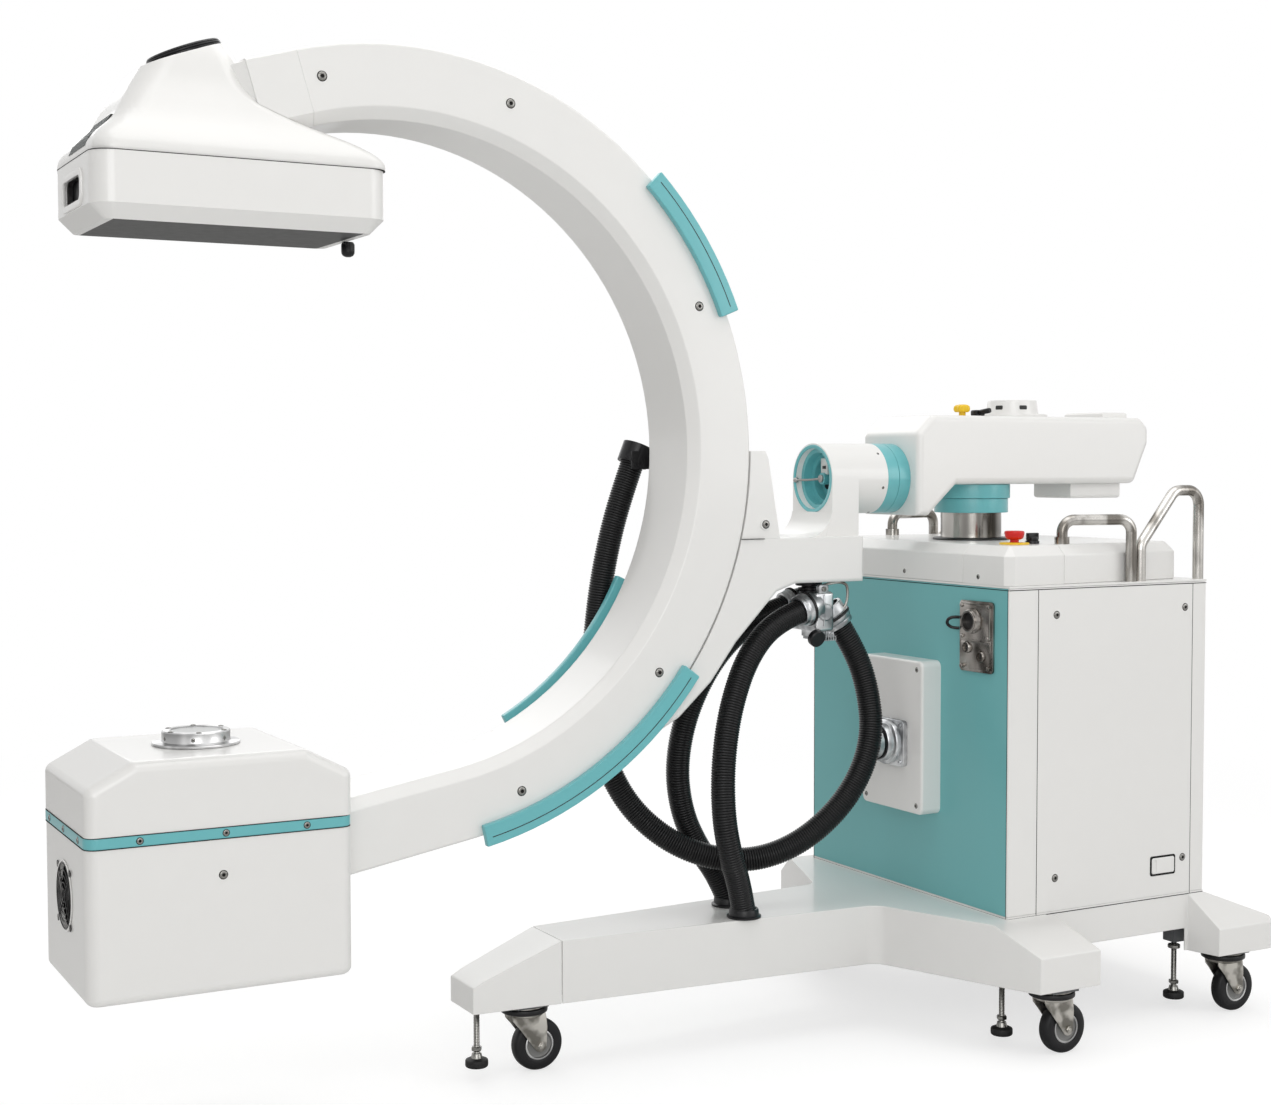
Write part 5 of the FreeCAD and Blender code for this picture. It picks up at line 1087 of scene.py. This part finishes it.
class CARM_OT_controls(bpy.types.Operator):
    """Stop button, rotary knob, yellow lock knob, lever and the round cover's windows"""

    bl_idname = "carm.controls"
    bl_label = "Controls"

    def execute(self, context):
        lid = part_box("top_lid")[1].z * 1000
        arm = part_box("arm_housing")[1].z * 1000
        self.stop(lid)
        self.knob(lid)
        self.lock(arm)
        self.cover_windows(arm)
        foot = turned("column_foot_ring", [(65.5, lid), (80, lid), (81, lid + 1), (81, lid + 3),
                                           (78, lid + 5), (66.5, lid + 5), (65.5, lid + 4)], 72)
        finished(standing(foot, at(175, 0, 0)), "base", "stainless", finish="dark_steel")
        return {"FINISHED"}

    @staticmethod
    def stop(lid):
        """A mushroom head with a fluted edge on a yellow plate."""
        collar = turned("stop_plate_yellow", [(9.4, lid), (29.4, lid), (30, lid + 0.8),
                                              (29.5, lid + 2.8),
                                              (27, lid + 3.9), (9.4, lid + 3.9)], 56)
        finished(standing(collar, at(84, -252, 0)), BODIES["stop_collar"], SLOTS["stop_collar"],
                 ["stop_collar"])
        low = lid + 9
        head = turned("stop_head_red", [
            (0, lid + 0.4), (8.9, lid + 0.4), (8.9, low), (14, low + 1.2), (17.5, low + 4),
            (18.6, low + 7),
            (19.2, low + 10), (20, low + 12), (20, low + 15.5), (18.8, low + 17.4), (16, low + 18),
            (12.6, low + 17.7), (11.8, low + 16.7), (0, low + 16.4)], 48)
        for vertex in head.data.vertices:
            radius = math.hypot(vertex.co.x, vertex.co.y)
            if radius > 0.0172 and vertex.co.z * 1000 < low + 16:
                flute = math.cos(12 * math.atan2(vertex.co.y, vertex.co.x))
                vertex.co.xy *= 1 - 0.02 * (1 + flute) / 2
        finished(standing(head, at(84, -252, 0)), BODIES["stop_button"], SLOTS["stop_button"],
                 ["stop_button"])

    @staticmethod
    def knob(lid):
        """An eight-sided grip on a low base, with a raised bar across it."""
        base = turned("base", [(0, lid + 0.4), (14, lid + 0.4), (14, lid + 5), (13, lid + 6.5),
                               (0, lid + 6.5)], 40)
        grip = turned("grip", [(0, lid + 6), (11.6, lid + 6), (12.2, lid + 8), (11.4, lid + 13),
                               (10, lid + 14.4), (0, lid + 14.4)], 8)
        bar = block("bar", (-0.0135, -0.0045, (lid + 8) / 1000), (0.0135, 0.0045, (lid + 22) / 1000))
        piece = joined("rotary_grip", [base, soften(grip, 0.0008), soften(bar, 0.0014)])
        finished(standing(piece, at(132, -250, 0)), BODIES["rotary_knob"], SLOTS["rotary_knob"],
                 ["rotary_knob"])

    @staticmethod
    def lock(arm):
        """A star grip over its stem, and the small lever beside it."""
        lobes = 5
        head = turned("lock_star", [(0, arm + 8), (13, arm + 8), (15.5, arm + 10), (16.5, arm + 15),
                                    (15.5, arm + 20), (12, arm + 23), (7, arm + 24), (6, arm + 23),
                                    (0, arm + 23)], 60)
        for vertex in head.data.vertices:
            radius = math.hypot(vertex.co.x, vertex.co.y)
            if radius > 0.0118:
                wave = math.cos(lobes * math.atan2(vertex.co.y, vertex.co.x))
                vertex.co.xy *= 1 + 0.11 * wave
        stem = turned("lock_stem", [(0, arm + 0.4), (7, arm + 0.4), (7, arm + 9), (0, arm + 9)], 28)
        piece = joined("lock_star", [head, stem])
        finished(standing(piece, at(112, -48, 0)), BODIES["arm_lock_knob"], SLOTS["arm_lock_knob"],
                 ["arm_lock_knob"])
        body = plate("lever_body", "Y", round_box((140, 166), (arm, arm + 13), 4), -56, -40)
        bar = standing(turned("lever_bar", [(0, 0), (5, 0), (5.6, 1), (5.6, 24), (4.6, 26),
                                            (0, 26)], 24),
                       at(153, -56, arm + 8), (0.25, -1, 0.15))
        finished(joined("arm_lever", [soften(body, 0.0015), bar]), "arm", "black_plastic")

    @staticmethod
    def cover_windows(arm):
        """Two small dark windows in the rim of the round cover."""
        pieces = []
        for degrees in (200, 256):
            angle = math.radians(degrees)
            way = Vector((math.cos(angle), math.sin(angle), 0.11))
            spot = at(285, 0, arm + 20) + Vector((math.cos(angle), math.sin(angle), 0)) * 0.0536
            outline = [(a * math.cos(angle) - b * math.sin(angle),
                        a * math.sin(angle) + b * math.cos(angle))
                       for a, b in round_box((-4.4, 4.4), (-8.5, 8.5), 2.4)]
            pane = plate("pane", "Z", outline, -3, 1.0)
            pane.data.transform(Matrix.Translation(-at(0, 0, 0)))
            pieces.append(standing(soften(pane, 0.0005), spot, way))
        finished(joined("cover_windows", pieces), "arm", "black_plastic", finish="dark_panel")


# ---------------------------------------------------------------- clamp and front fittings


def sleeve(name, place, direction, profile, steps=40):
    return standing(turned(name, profile, steps), place, direction)


class CARM_OT_clamp(bpy.types.Operator):
    """The hose clamp under the bracket: casting, three ports, swivel ring and hanging loop"""

    bl_idname = "carm.clamp"
    bl_label = "Hose clamp"

    def execute(self, context):
        block = soften(block_mm("clamp_core", (-263, -219), (-62, 46), (813, 893)), 0.007, 4)
        ribs = [soften(block_mm("rib", (-246.5, -242.5), (-65, 49), (824, 888)), 0.0015)]
        boss = sleeve("boss", at(-241, -62, 852), (0, -1, 0),
                      [(0, 3), (15, 3), (17, 1.5), (18, 0), (18, -8), (0, -8)])
        lug = soften(plate("lug", "Y", round_box((-256, -232), (888, 908), 6), -60, -50), 0.0012)
        parts = [block, boss, lug] + ribs
        ports, gaskets = [], []
        for node in HOSE_ROUTES:
            first, second = (at(-1000 * x, 1000 * y, 1000 * z) for x, y, z in HOSE_ROUTES[node][2][:2])
            way = (second - first).normalized()
            ports.append(sleeve("port", first - way * 0.014, way, [
                (24.4, 0), (29, 0), (30, 2), (30.4, 20), (33, 22), (33, 34), (32, 36), (30.8, 37.5),
                (30.8, 45), (29.6, 47), (25.2, 47), (24.4, 46)]))
            gaskets.append(sleeve("gasket", first + way * 0.008, way, [
                (30, 0), (34.6, 0), (35.4, 1), (35.4, 5), (34.6, 6), (30, 6)]))
        body = BODIES["hose_clamps"]
        finished(joined("clamp_casting", parts + ports), body, SLOTS["hose_clamps"],
                 finish="cast_metal")
        swivel = [(0, 892), (20, 892), (22, 894), (22, 899), (15, 900), (15, 902), (26, 903),
                  (27.5, 904),
                  (27.5, 911), (26, 912.5), (22, 914), (0, 914)]
        ring = turned("ring", swivel, 72)
        for vertex in ring.data.vertices:
            if math.hypot(vertex.co.x, vertex.co.y) > 0.0255:
                turn = math.atan2(vertex.co.y, vertex.co.x)
                vertex.co.xy *= 1 - 0.025 * (1 + math.cos(24 * turn)) / 2
        finished(joined("clamp_rings", gaskets + [standing(ring, at(-240, 0, 0))]), body,
                 "black_plastic")
        loop = bent_rod("clamp_loop", [at(-236, -46, 906), at(-214, -52, 911), at(-196, -56, 911),
                                       at(-186, -58, 905), at(-184, -58, 886), at(-186, -56, 866),
                                       at(-196, -50, 852), at(-214, -40, 848)], 3)
        finished(loop, body, "stainless")
        knob = sleeve("hand_knob", at(-262, -30, 812), (0.0, -0.94, -0.34), [
            (0, 20), (6, 20), (8, 24), (15, 26), (17.5, 28), (17.5, 38), (15, 40), (0, 40)], 36)
        finished(knob, body, "black_plastic")
        fins = [soften(block_mm("fin", (-234 + 6 * i, -231.5 + 6 * i), (-44, 30), (792, 816)), 0.0006)
                for i in range(6)]
        shoe = soften(block_mm("shoe", (-240, -198), (-42, 28), (798, 814)), 0.002)
        finished(joined("clamp_shoe", fins + [shoe]), body, "cast_metal")
        screw = sleeve("lug_screw", at(-244, -60, 899), (0, -1, 0), [
            (0, 1.4), (2.4, 1.4), (2.6, 3.4), (4, 3.4), (5, 2.6), (5.4, 0), (0, 0)], 28)
        finished(screw, body, "zinc_steel", finish="bright_steel")
        return {"FINISHED"}


def block_mm(name, x, y, z):
    """A cube primitive between limits in millimetres from the cabinet's front."""
    return block(name, at(x[0], y[0], z[0]), at(x[1], y[1], z[1]))


class CARM_OT_front_fittings(bpy.types.Operator):
    """The cast cable flange on the front box and the plate of connectors beside it"""

    bl_idname = "carm.front_fittings"
    bl_label = "Front fittings"

    def execute(self, context):
        self.flange()
        self.connectors()
        return {"FINISHED"}

    @staticmethod
    def flange():
        """A square foot, two shoulders and a stepped nozzle."""
        y, z = -25, 574
        foot = soften(plate("foot", "X", round_box((y - 54, y + 50), (z - 48, z + 48), 10), -60,
                            -48), 0.002, 3)
        nozzle = sleeve("nozzle", at(-60, y, z), (-1, 0, 0), [
            (18, 58), (24, 58), (26, 56), (27, 44), (30, 42), (32, 40), (33, 30), (28, 29), (28, 26),
            (38, 25), (39.5, 23), (40, 12), (45, 10), (46.5, 8), (47, 0), (18, 0)], 64)
        bolts = []
        for dy in (-43, 39):
            for dz in (-38, 38):
                bolts.append(sleeve("bolt", at(-60, y + dy, z + dz), (-1, 0, 0), [
                    (0, 1.2), (2.2, 1.2), (2.4, 3), (4.2, 3), (5, 2.2), (5, 0), (0, 0)], 24))
        finished(joined("cable_flange", [foot, nozzle] + bolts), "base", "cast_metal",
                 ["front_connectors"])
        ring = sleeve("nozzle_seal", at(-60, y, z), (-1, 0, 0),
                      [(27.5, 26.4), (36, 26.4), (36, 28.6), (27.5, 28.6)])
        plug = sleeve("nozzle_plug", at(-60, y, z), (-1, 0, 0),
                      [(0, 50), (18.2, 50), (18.2, 2), (0, 2)])
        finished(joined("nozzle_dark", [ring, plug]), "base", "black_plastic")

    @staticmethod
    def connectors():
        """A bright plate with a threaded round socket above two key switches."""
        sheet = soften(plate("sheet", "X", round_box((-296, -192), (736, 878), 8), -5, 0), 0.001)
        upper = soften(plate("upper", "X", round_box((-290, -198), (800, 872), 6), -8.5, -5), 0.0009)
        lower = soften(plate("lower", "X", round_box((-290, -198), (742, 797), 6), -6.5, -5), 0.0007)
        parts = [sheet, upper, lower]
        parts.append(sleeve("socket", at(-8.5, -236, 838), (-1, 0, 0), [
            (17, 12), (20.5, 12), (21.5, 11), (21.5, 9), (20.6, 8.2), (21.5, 7.4), (20.6, 6.6),
            (21.5, 5.8),
            (20.6, 5), (21.5, 4.2), (25, 3), (26, 0), (17, 0)], 48))
        for y, z in ((-218, 784), (-262, 768)):
            parts.append(sleeve("key", at(-6.5, y, z), (-1, 0, 0), [
                (0, 1.6), (7.6, 1.6), (8, 4.4), (10.2, 4.4), (11.4, 3), (12, 0), (0, 0)], 40))
        for y, z in ((-286, 868), (-202, 868), (-286, 746), (-202, 746), (-284, 806), (-204, 806)):
            parts.append(sleeve("rivet", at(-5, y, z), (-1, 0, 0), [
                (0, 6.4), (3, 6), (4.4, 4.8), (4.6, 0), (0, 0)], 20))
        finished(joined("connector_panel", parts), "base", "stainless", finish="bright_plate")
        # painted shade: a near-black disc in the socket's throat and near-black slots in the keys stand for
        # the shade in these openings; the clip is black plastic
        holes = [sleeve("throat", at(-8.5, -236, 838), (-1, 0, 0),
                        [(0, 3), (17.2, 3), (17.2, 1), (0, 1)])]
        for y, z in ((-218, 784), (-262, 768)):
            holes.append(block_mm("keyway", (-8.4, -8.05), (y - 1.4, y + 1.4), (z - 5, z + 5)))
        clip = bent_rod("clip", [at(-4, -190, 842), at(-16, -184, 843), at(-24, -178, 838),
                                 at(-24, -175, 828),
                                 at(-14, -180, 820), at(-4, -190, 820)], 3.2)
        finished(joined("connector_dark", holes + [clip]), "base", "black_plastic")


# ---------------------------------------------------------------- tube housing and detector


class CARM_OT_tube_fittings(bpy.types.Operator):
    """The collimator ring with its window, and the wire guard over the fan"""

    bl_idname = "carm.tube_fittings"
    bl_label = "Tube fittings"

    def execute(self, context):
        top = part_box("tube_cover")[1].z * 1000
        ring = turned("collimator_metal", [
            (45, -40), (59.3, -40), (59.3, 0), (73.5, 0), (75, 1.2), (75, 3.4), (73.8, 4.8), (62, 5.4),
            (59, 6.4), (58, 8), (58, 22.6), (56, 24.6), (46.6, 24.9), (45, 23.6)], 96)
        finished(standing(ring, at(-1505, 0, top)), "c_arm", SLOTS["collimator_ring"],
                 ["collimator_ring"],
                 "turned_aluminium")
        pane = turned("collimator_window", [(0, 22.6), (45, 22.6), (45, 21), (0, 21)], 64)
        finished(standing(pane, at(-1505, 0, top)), "c_arm", "white_casting", finish="window_grey")
        self.guard()
        return {"FINISHED"}

    @staticmethod
    def guard():
        """Four wire rings on two crossed wires that end in screwed eyes."""
        middle = at(-1731.9, 0, 430)
        wires = []
        for radius in (11, 22, 33, 44, 55):
            wire = start("wire", bpy.ops.mesh.primitive_torus_add, major_segments=64, minor_segments=8,
                         major_radius=radius / 1000, minor_radius=0.0009)
            wires.append(standing(wire, middle, (-1, 0, 0)))
        for way in ((0, 1, 1), (0, 1, -1)):
            direction = Vector(way).normalized()
            wires.append(sleeve("spoke", middle + Vector((0.001, 0, 0)) - direction * 0.066, direction,
                                [(0, 0), (1.1, 0.3), (1.1, 131.7), (0, 132)], 10))
        for y in (-1, 1):
            for z in (-1, 1):
                wires.append(sleeve("eye", at(-1731.2, 46 * y, 430 + 46 * z), (-1, 0, 0), [
                    (2.6, 0), (5.6, 0), (6, 0.6), (5.6, 1.3), (2.6, 1.3)], 28))
        finished(joined("guard_wires", wires), "c_arm", SLOTS["fan_guard"], finish="dark_steel")
        rim = sleeve("fan_rim", at(-1731, 0, 430), (-1, 0, 0), [
            (56.4, -8), (58.2, -8), (58.2, 0), (60.6, 0), (60.8, 0.6), (60, 1.2), (57.2, 1.2),
            (56.4, 0.4)], 72)
        finished(rim, "c_arm", "white_cover")


BELL = ((12, 243), (30, 235), (60, 205), (95, 182))


def bell_left(up):
    """How far the bell's left end stands from the beam at a height above the split."""
    for (low, first), (high, second) in zip(BELL, BELL[1:]):
        if up <= high:
            return first + (second - first) * (up - low) / (high - low)
    return BELL[-1][1]


class CARM_OT_detector_fittings(bpy.types.Operator):
    """Grille, lined slot, ribbed cap and pointer of the detector housing"""

    bl_idname = "carm.detector_fittings"
    bl_label = "Detector fittings"

    def execute(self, context):
        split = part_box("detector_cover")[0].z * 1000
        self.grille(split)
        self.cap(split)
        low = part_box("detector_tray")[0].z * 1000
        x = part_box("detector_tray")[1].x * 1000 - FRONT * 1000 - 22
        pointer = turned("pointer_knob", [
            (0, low - 27), (5, low - 26.6), (9, low - 24.6), (11.4, low - 21), (12, low - 17),
            (12, low - 5), (11, low - 3), (9.5, low - 0.6), (0, low - 0.6)], 36)
        finished(standing(pointer, at(x, 0, 0)), "c_arm", "black_plastic")
        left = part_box("detector_tray")[0].x * 1000 - FRONT * 1000
        lining = plate("slot_lining", "X", round_box((-65.8, 65.8), (1580.2, 1623.8), 12),
                       left + 14, left + 43)
        finished(lining, "c_arm", "black_plastic")
        rim = plate("slot_rim", "X", round_box((-75, 75), (1571, 1633), 19, 8), left - 3.2, left + 2)
        carve(rim, plate("slot_rim_room", "X", round_box((-64, 64), (1582, 1622), 12, 8), left - 9,
                         left + 9))
        finished(soften(rim, 0.0013), "c_arm", "white_cover")
        self.beam_end()
        return {"FINISHED"}

    @staticmethod
    def grille(split):
        """Fine upright bars over a near-black backing that is painted shade behind them, along the bell's
        left end.
        """
        ups = (16, 22, 30, 40, 50, 60, 70)

        def skin(out, back):
            outer = [(-1450 - bell_left(up) - out, split + up) for up in ups]
            inner = [(-1450 - bell_left(up) + back, split + up) for up in reversed(ups)]
            return outer + inner
        # painted shade: the near-black backing stands for the shade behind the bars
        backing = plate("grille_shade_back", "Y", skin(0.9, 4), -64, 64)
        finished(backing, "c_arm", "black_plastic", finish="shadow_gap")
        bars = [plate("bar", "Y", skin(2.0, 1), y, y + 1.7) for y in range(-62, 62, 4)]
        finished(joined("grille_bars", bars), "c_arm", "dark_panel", finish="grille_grey")

    @staticmethod
    def beam_end():
        """The tapered nose that carries the end of the C into the neck of the bell."""
        nose = plate("beam_end", "Y", [(-1431, 1828), (-1395.5, 1704.6), (-1428, 1695),
                                       (-1462, 1818)], -92, 92)
        for vertex in nose.data.vertices:
            if vertex.co.x < at(-1440, 0, 0).x or vertex.co.z < 1.7:
                vertex.co.y *= 0.7
        finished(soften(nose, 0.003), "c_arm", "white_casting")

    @staticmethod
    def cap(split):
        """A low dome with concentric ribs on the tilted neck."""
        tilt = math.atan2(52, 140)
        way = Vector((-math.sin(tilt), 0, math.cos(tilt)))
        profile = [(0, 0), (64, 0), (66, 1.4), (66, 4), (64.4, 5), (65.4, 6), (65, 8), (63.4, 9),
                   (64, 10),
                   (62, 12.6), (58, 13.4), (57, 12.2), (53, 12.2), (52, 13.6), (44, 14.4), (43, 13.2),
                   (39, 13.2), (38, 14.8), (28, 15.4), (27, 14.4), (0, 14.6)]
        cap = turned("neck_cap_ribbed", profile, 80)
        finished(standing(cap, at(-1510, 0, split + 188), way), "c_arm", SLOTS["detector_cap"],
                 ["detector_cap"])


class CARM_OT_rail_stop(bpy.types.Operator):
    """The stop plate under the tail of the C and the cuffs where the hoses enter the base"""

    bl_idname = "carm.rail_stop"
    bl_label = "Rail stop and hose cuffs"

    def execute(self, context):
        slope = math.radians(10)
        along, down = Vector((-math.cos(slope), 0, -math.sin(slope))), Vector((math.sin(slope), 0,
                                                                               -math.cos(slope)))
        rim = at(-1150 + 710 * math.cos(math.radians(80)), 0, 1172.4 - 710 * math.sin(math.radians(80)))
        strip = block("strip", (0, -0.031, 0.002), (0.112, 0.031, 0.008))
        heads = [block("head", (x, -0.026, -0.006), (x + 0.02, 0.026, 0.016)) for x in (0.004, 0.088)]
        screws = [standing(turned("s", [(0, 1.2), (2.6, 1.2), (2.8, 3), (5, 3), (5.6, 0), (0, 0)], 24),
                           (x, 0, 0.008), (0, 0, 1)) for x in (0.036, 0.056, 0.076)]
        piece = joined("tail_stop", [soften(strip, 0.0012)] + [soften(h,
                                                                      0.002) for h in heads] + screws)
        start_at = rim + along * 0.068
        piece.data.transform(Matrix((
            (along.x, 0, down.x, start_at.x), (along.y, 1, down.y, start_at.y),
            (along.z, 0, down.z, start_at.z), (0, 0, 0, 1))))
        finished(piece, "c_arm", "zinc_steel")
        cuffs = []
        for x, y in ((-438, -70), (-412, 32)):
            cuffs.append(standing(turned("cuff", [
                (24.6, 0), (33, 0), (34, 1), (34, 4), (30, 6), (29, 16), (27.6, 18), (24.6, 18)], 44),
                at(x, y, 258), (0, 0, 1)))
        finished(joined("hose_cuffs", cuffs), "base", "black_plastic")
        return {"FINISHED"}


class CARM_OT_trim(bpy.types.Operator):
    """Seams between covers, the side latch, the cup's fittings and the fillet under the barrel"""

    bl_idname = "carm.trim"
    bl_label = "Seams and trim"

    def execute(self, context):
        self.seams()
        self.latch()
        self.cup()
        self.groove()
        return {"FINISHED"}

    @staticmethod
    def seams():
        """Painted shade: near-black lines laid on the covers where two meet, standing for the shade in their
        gaps.
        """
        lines = []
        for side in (-1, 1):
            skin = (339.2 * side, 340.25 * side)
            y = (min(skin), max(skin))
            lines += [block_mm("line", (71.7, 73.1), y, (258, 903)),
                      block_mm("line", (481.3, 482.5), y, (258, 903)),
                      block_mm("line", (0.5, 519.5), y, (256.8, 258.4)),
                      block_mm("line", (0.5, 519.5), y, (902.6, 904.2)),
                      block_mm("line", (-0.3, 0.8), tuple(sorted((334.4 * side, 335.6 * side))),
                               (258, 903))]
        lines += [block_mm("line", (-0.3, 1), (-335, 335), (256.8, 258.4)),
                  block_mm("line", (-0.3, 1), (-338, 338), (902.6, 904.2))]
        finished(joined("cabinet_seams", lines), "base", "black_plastic", finish="shadow_gap")
        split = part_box("detector_cover")[0].z * 1000
        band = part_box("tube_cover")[0].z * 1000
        # painted shade: dark rings at the detector's split and above and below the tube band
        rings = [plate("ring", "Z", round_box((-1700.35, -1196.7), (-150.35, 150.35), 36, 8),
                       split - 0.7,
                       split + 0.5)]
        for z in (band - 19.6, band - 0.4):
            rings.append(plate("ring", "Z", round_box((-1731.35, -1279.65), (-166.35, 166.35), 22.5, 8),
                               z, z + 1.0))
        finished(joined("housing_seams", rings), "c_arm", "black_plastic", finish="shadow_gap")
        # painted shade: dark lines where the cheeks meet the deck
        deck = FLIP_Z * 1000 - 116
        cheek = [block_mm("line", (-458, -406), tuple(sorted((92 * s, 95.3 * s))),
                          (deck - 0.7, deck + 0.5))
                 for s in (-1, 1)]
        finished(joined("cheek_seams", cheek), "carriage", "black_plastic", finish="shadow_gap")

    @staticmethod
    def latch():
        """A flush paddle latch: a near-black frame painted as the shade of the gap round it, a bright paddle
        and a finger scoop.
        """
        # painted shade: the near-black frame stands for the shade in the gap round the paddle
        shade_frame_piece = plate("frame", "Y", round_box((372, 441), (304, 345), 5), -340.9, -338)
        finished(soften(shade_frame_piece, 0.0005), "base", "black_plastic",
                 finish="shadow_gap").name = "latch_shade_frame"
        paddle = soften(plate("paddle", "Y", round_box((376, 437), (308.4, 341), 4), -342.2, -339),
                        0.001)
        carve(paddle, plate("scoop", "Y", round_box((378, 388), (311, 338), 4), -345, -341))
        finished(paddle, "base", "white_steel").name = "latch_paddle"

    @staticmethod
    def cup():
        """Holes painted as near-black discs of shade, a terminal block and a release lever in the teal cup,
        and the fillet under it.
        """
        z = FLIP_Z * 1000
        floor = (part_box("pivot_cup")[1].x - FRONT) * 1000 - 8
        # painted shade: the holes are near-black discs on the cup's floor; the button beside them is black
        # plastic
        dark = [sleeve("hole", at(floor + 0.4, 27 * math.cos(a), z + 27 * math.sin(a)), (-1, 0, 0),
                       [(0, 1.2), (7.4, 1.2), (8.6, 0.6), (8.6, 0), (0, 0)], 28)
                for a in (math.radians(d) for d in (30, 150, 200, 270, 330))]
        dark.append(block_mm("button", (floor - 27, floor - 24), (-7, 1), (z + 20, z + 26)))
        finished(joined("cup_holes", dark), "carriage", "black_plastic")
        unit = soften(block_mm("terminal", (floor - 24, floor), (-12, 12), (z + 8, z + 42)), 0.002)
        finished(unit, "carriage", "white_cover").name = "cup_terminal"
        lever = bent_rod("lever", [at(floor - 30, 0, z), at(floor - 40, 14, z - 2),
                                   at(floor - 46, 34, z - 3),
                                   at(floor - 52, 56, z - 3)], 2.4)
        hub = sleeve("hub", at(floor - 26, 0, z), (-1, 0, 0),
                     [(0, 8), (7, 8), (8, 7), (8, 0), (0, 0)], 28)
        ball = sleeve("ball", at(floor - 52, 54, z - 3), (0, 1, 0), [
            (0, 12), (3, 11.4), (5, 9.4), (5.6, 6), (5, 2.6), (3, 0.6), (0, 0)], 24)
        finished(joined("cup_lever", [lever, hub, ball]), "carriage", "zinc_steel")
        ring = sleeve("cup_ring", at(-232, 0, z), (-1, 0, 0),
                      [(61.8, -1), (61.8, 0.8), (62.4, 1.2), (68.4, 1.2),
                                                              (69.2, 0.6), (69.2, -1)], 80)
        finished(ring, "carriage", "teal_metal")
        fillet = plate("barrel_fillet", "Y", arc(-290, z - 59.3, 57, -8, -90,
                                                 16) + [(-236, z - 116.2)], -71.6, 71.6)
        finished(fillet, "carriage", "white_casting")

    @staticmethod
    def groove():
        """A fine dark line on each rim guard, painted shade of a groove."""
        pieces = []
        for first, last in ((23, 45), (-77.5, -37)):
            outer = arc(*C_CENTRE, 713, first, last, 28)
            inner = arc(*C_CENTRE, 711.4, first, last, 28)
            pieces.append(plate("line", "Y", outer + inner[::-1], -110.25, -109))
        # painted shade: dark strips stand for the shade in the guards' grooves
        finished(joined("guard_groove_shade", pieces), "c_arm", "black_plastic", finish="dark_panel")


# ---------------------------------------------------------------- panel and registration

OPERATORS = [
    CARM_OT_stage, CARM_OT_finishes, CARM_OT_hoses, CARM_OT_covers, CARM_OT_casters, CARM_OT_feet,
    CARM_OT_screws, CARM_OT_controls, CARM_OT_clamp, CARM_OT_front_fittings, CARM_OT_tube_fittings,
    CARM_OT_detector_fittings, CARM_OT_rail_stop, CARM_OT_trim,
]


class CARM_PT_panel(bpy.types.Panel):
    bl_label = "Mobile C-arm"
    bl_idname = "CARM_PT_panel"
    bl_space_type = "VIEW_3D"
    bl_region_type = "UI"
    bl_category = "C-arm"

    def draw(self, context):
        for group in (context.scene.carm_look, context.scene.carm_hoses):
            for name in type(group).__annotations__:
                self.layout.prop(group, name)
        for operator in OPERATORS:
            self.layout.operator(operator.bl_idname)


CLASSES = [CArmLook, CArmHoses, *OPERATORS, CARM_PT_panel]


def register():
    for item in CLASSES:
        bpy.utils.register_class(item)
    bpy.types.Scene.carm_look = bpy.props.PointerProperty(type=CArmLook)
    bpy.types.Scene.carm_hoses = bpy.props.PointerProperty(type=CArmHoses)


def unregister():
    del bpy.types.Scene.carm_hoses
    del bpy.types.Scene.carm_look
    for item in reversed(CLASSES):
        bpy.utils.unregister_class(item)


def main():
    """Run every operator in order."""
    register()
    for operator in OPERATORS:
        group, name = operator.bl_idname.split(".")
        getattr(getattr(bpy.ops, group), name)()


if __name__ == "__main__":
    main()
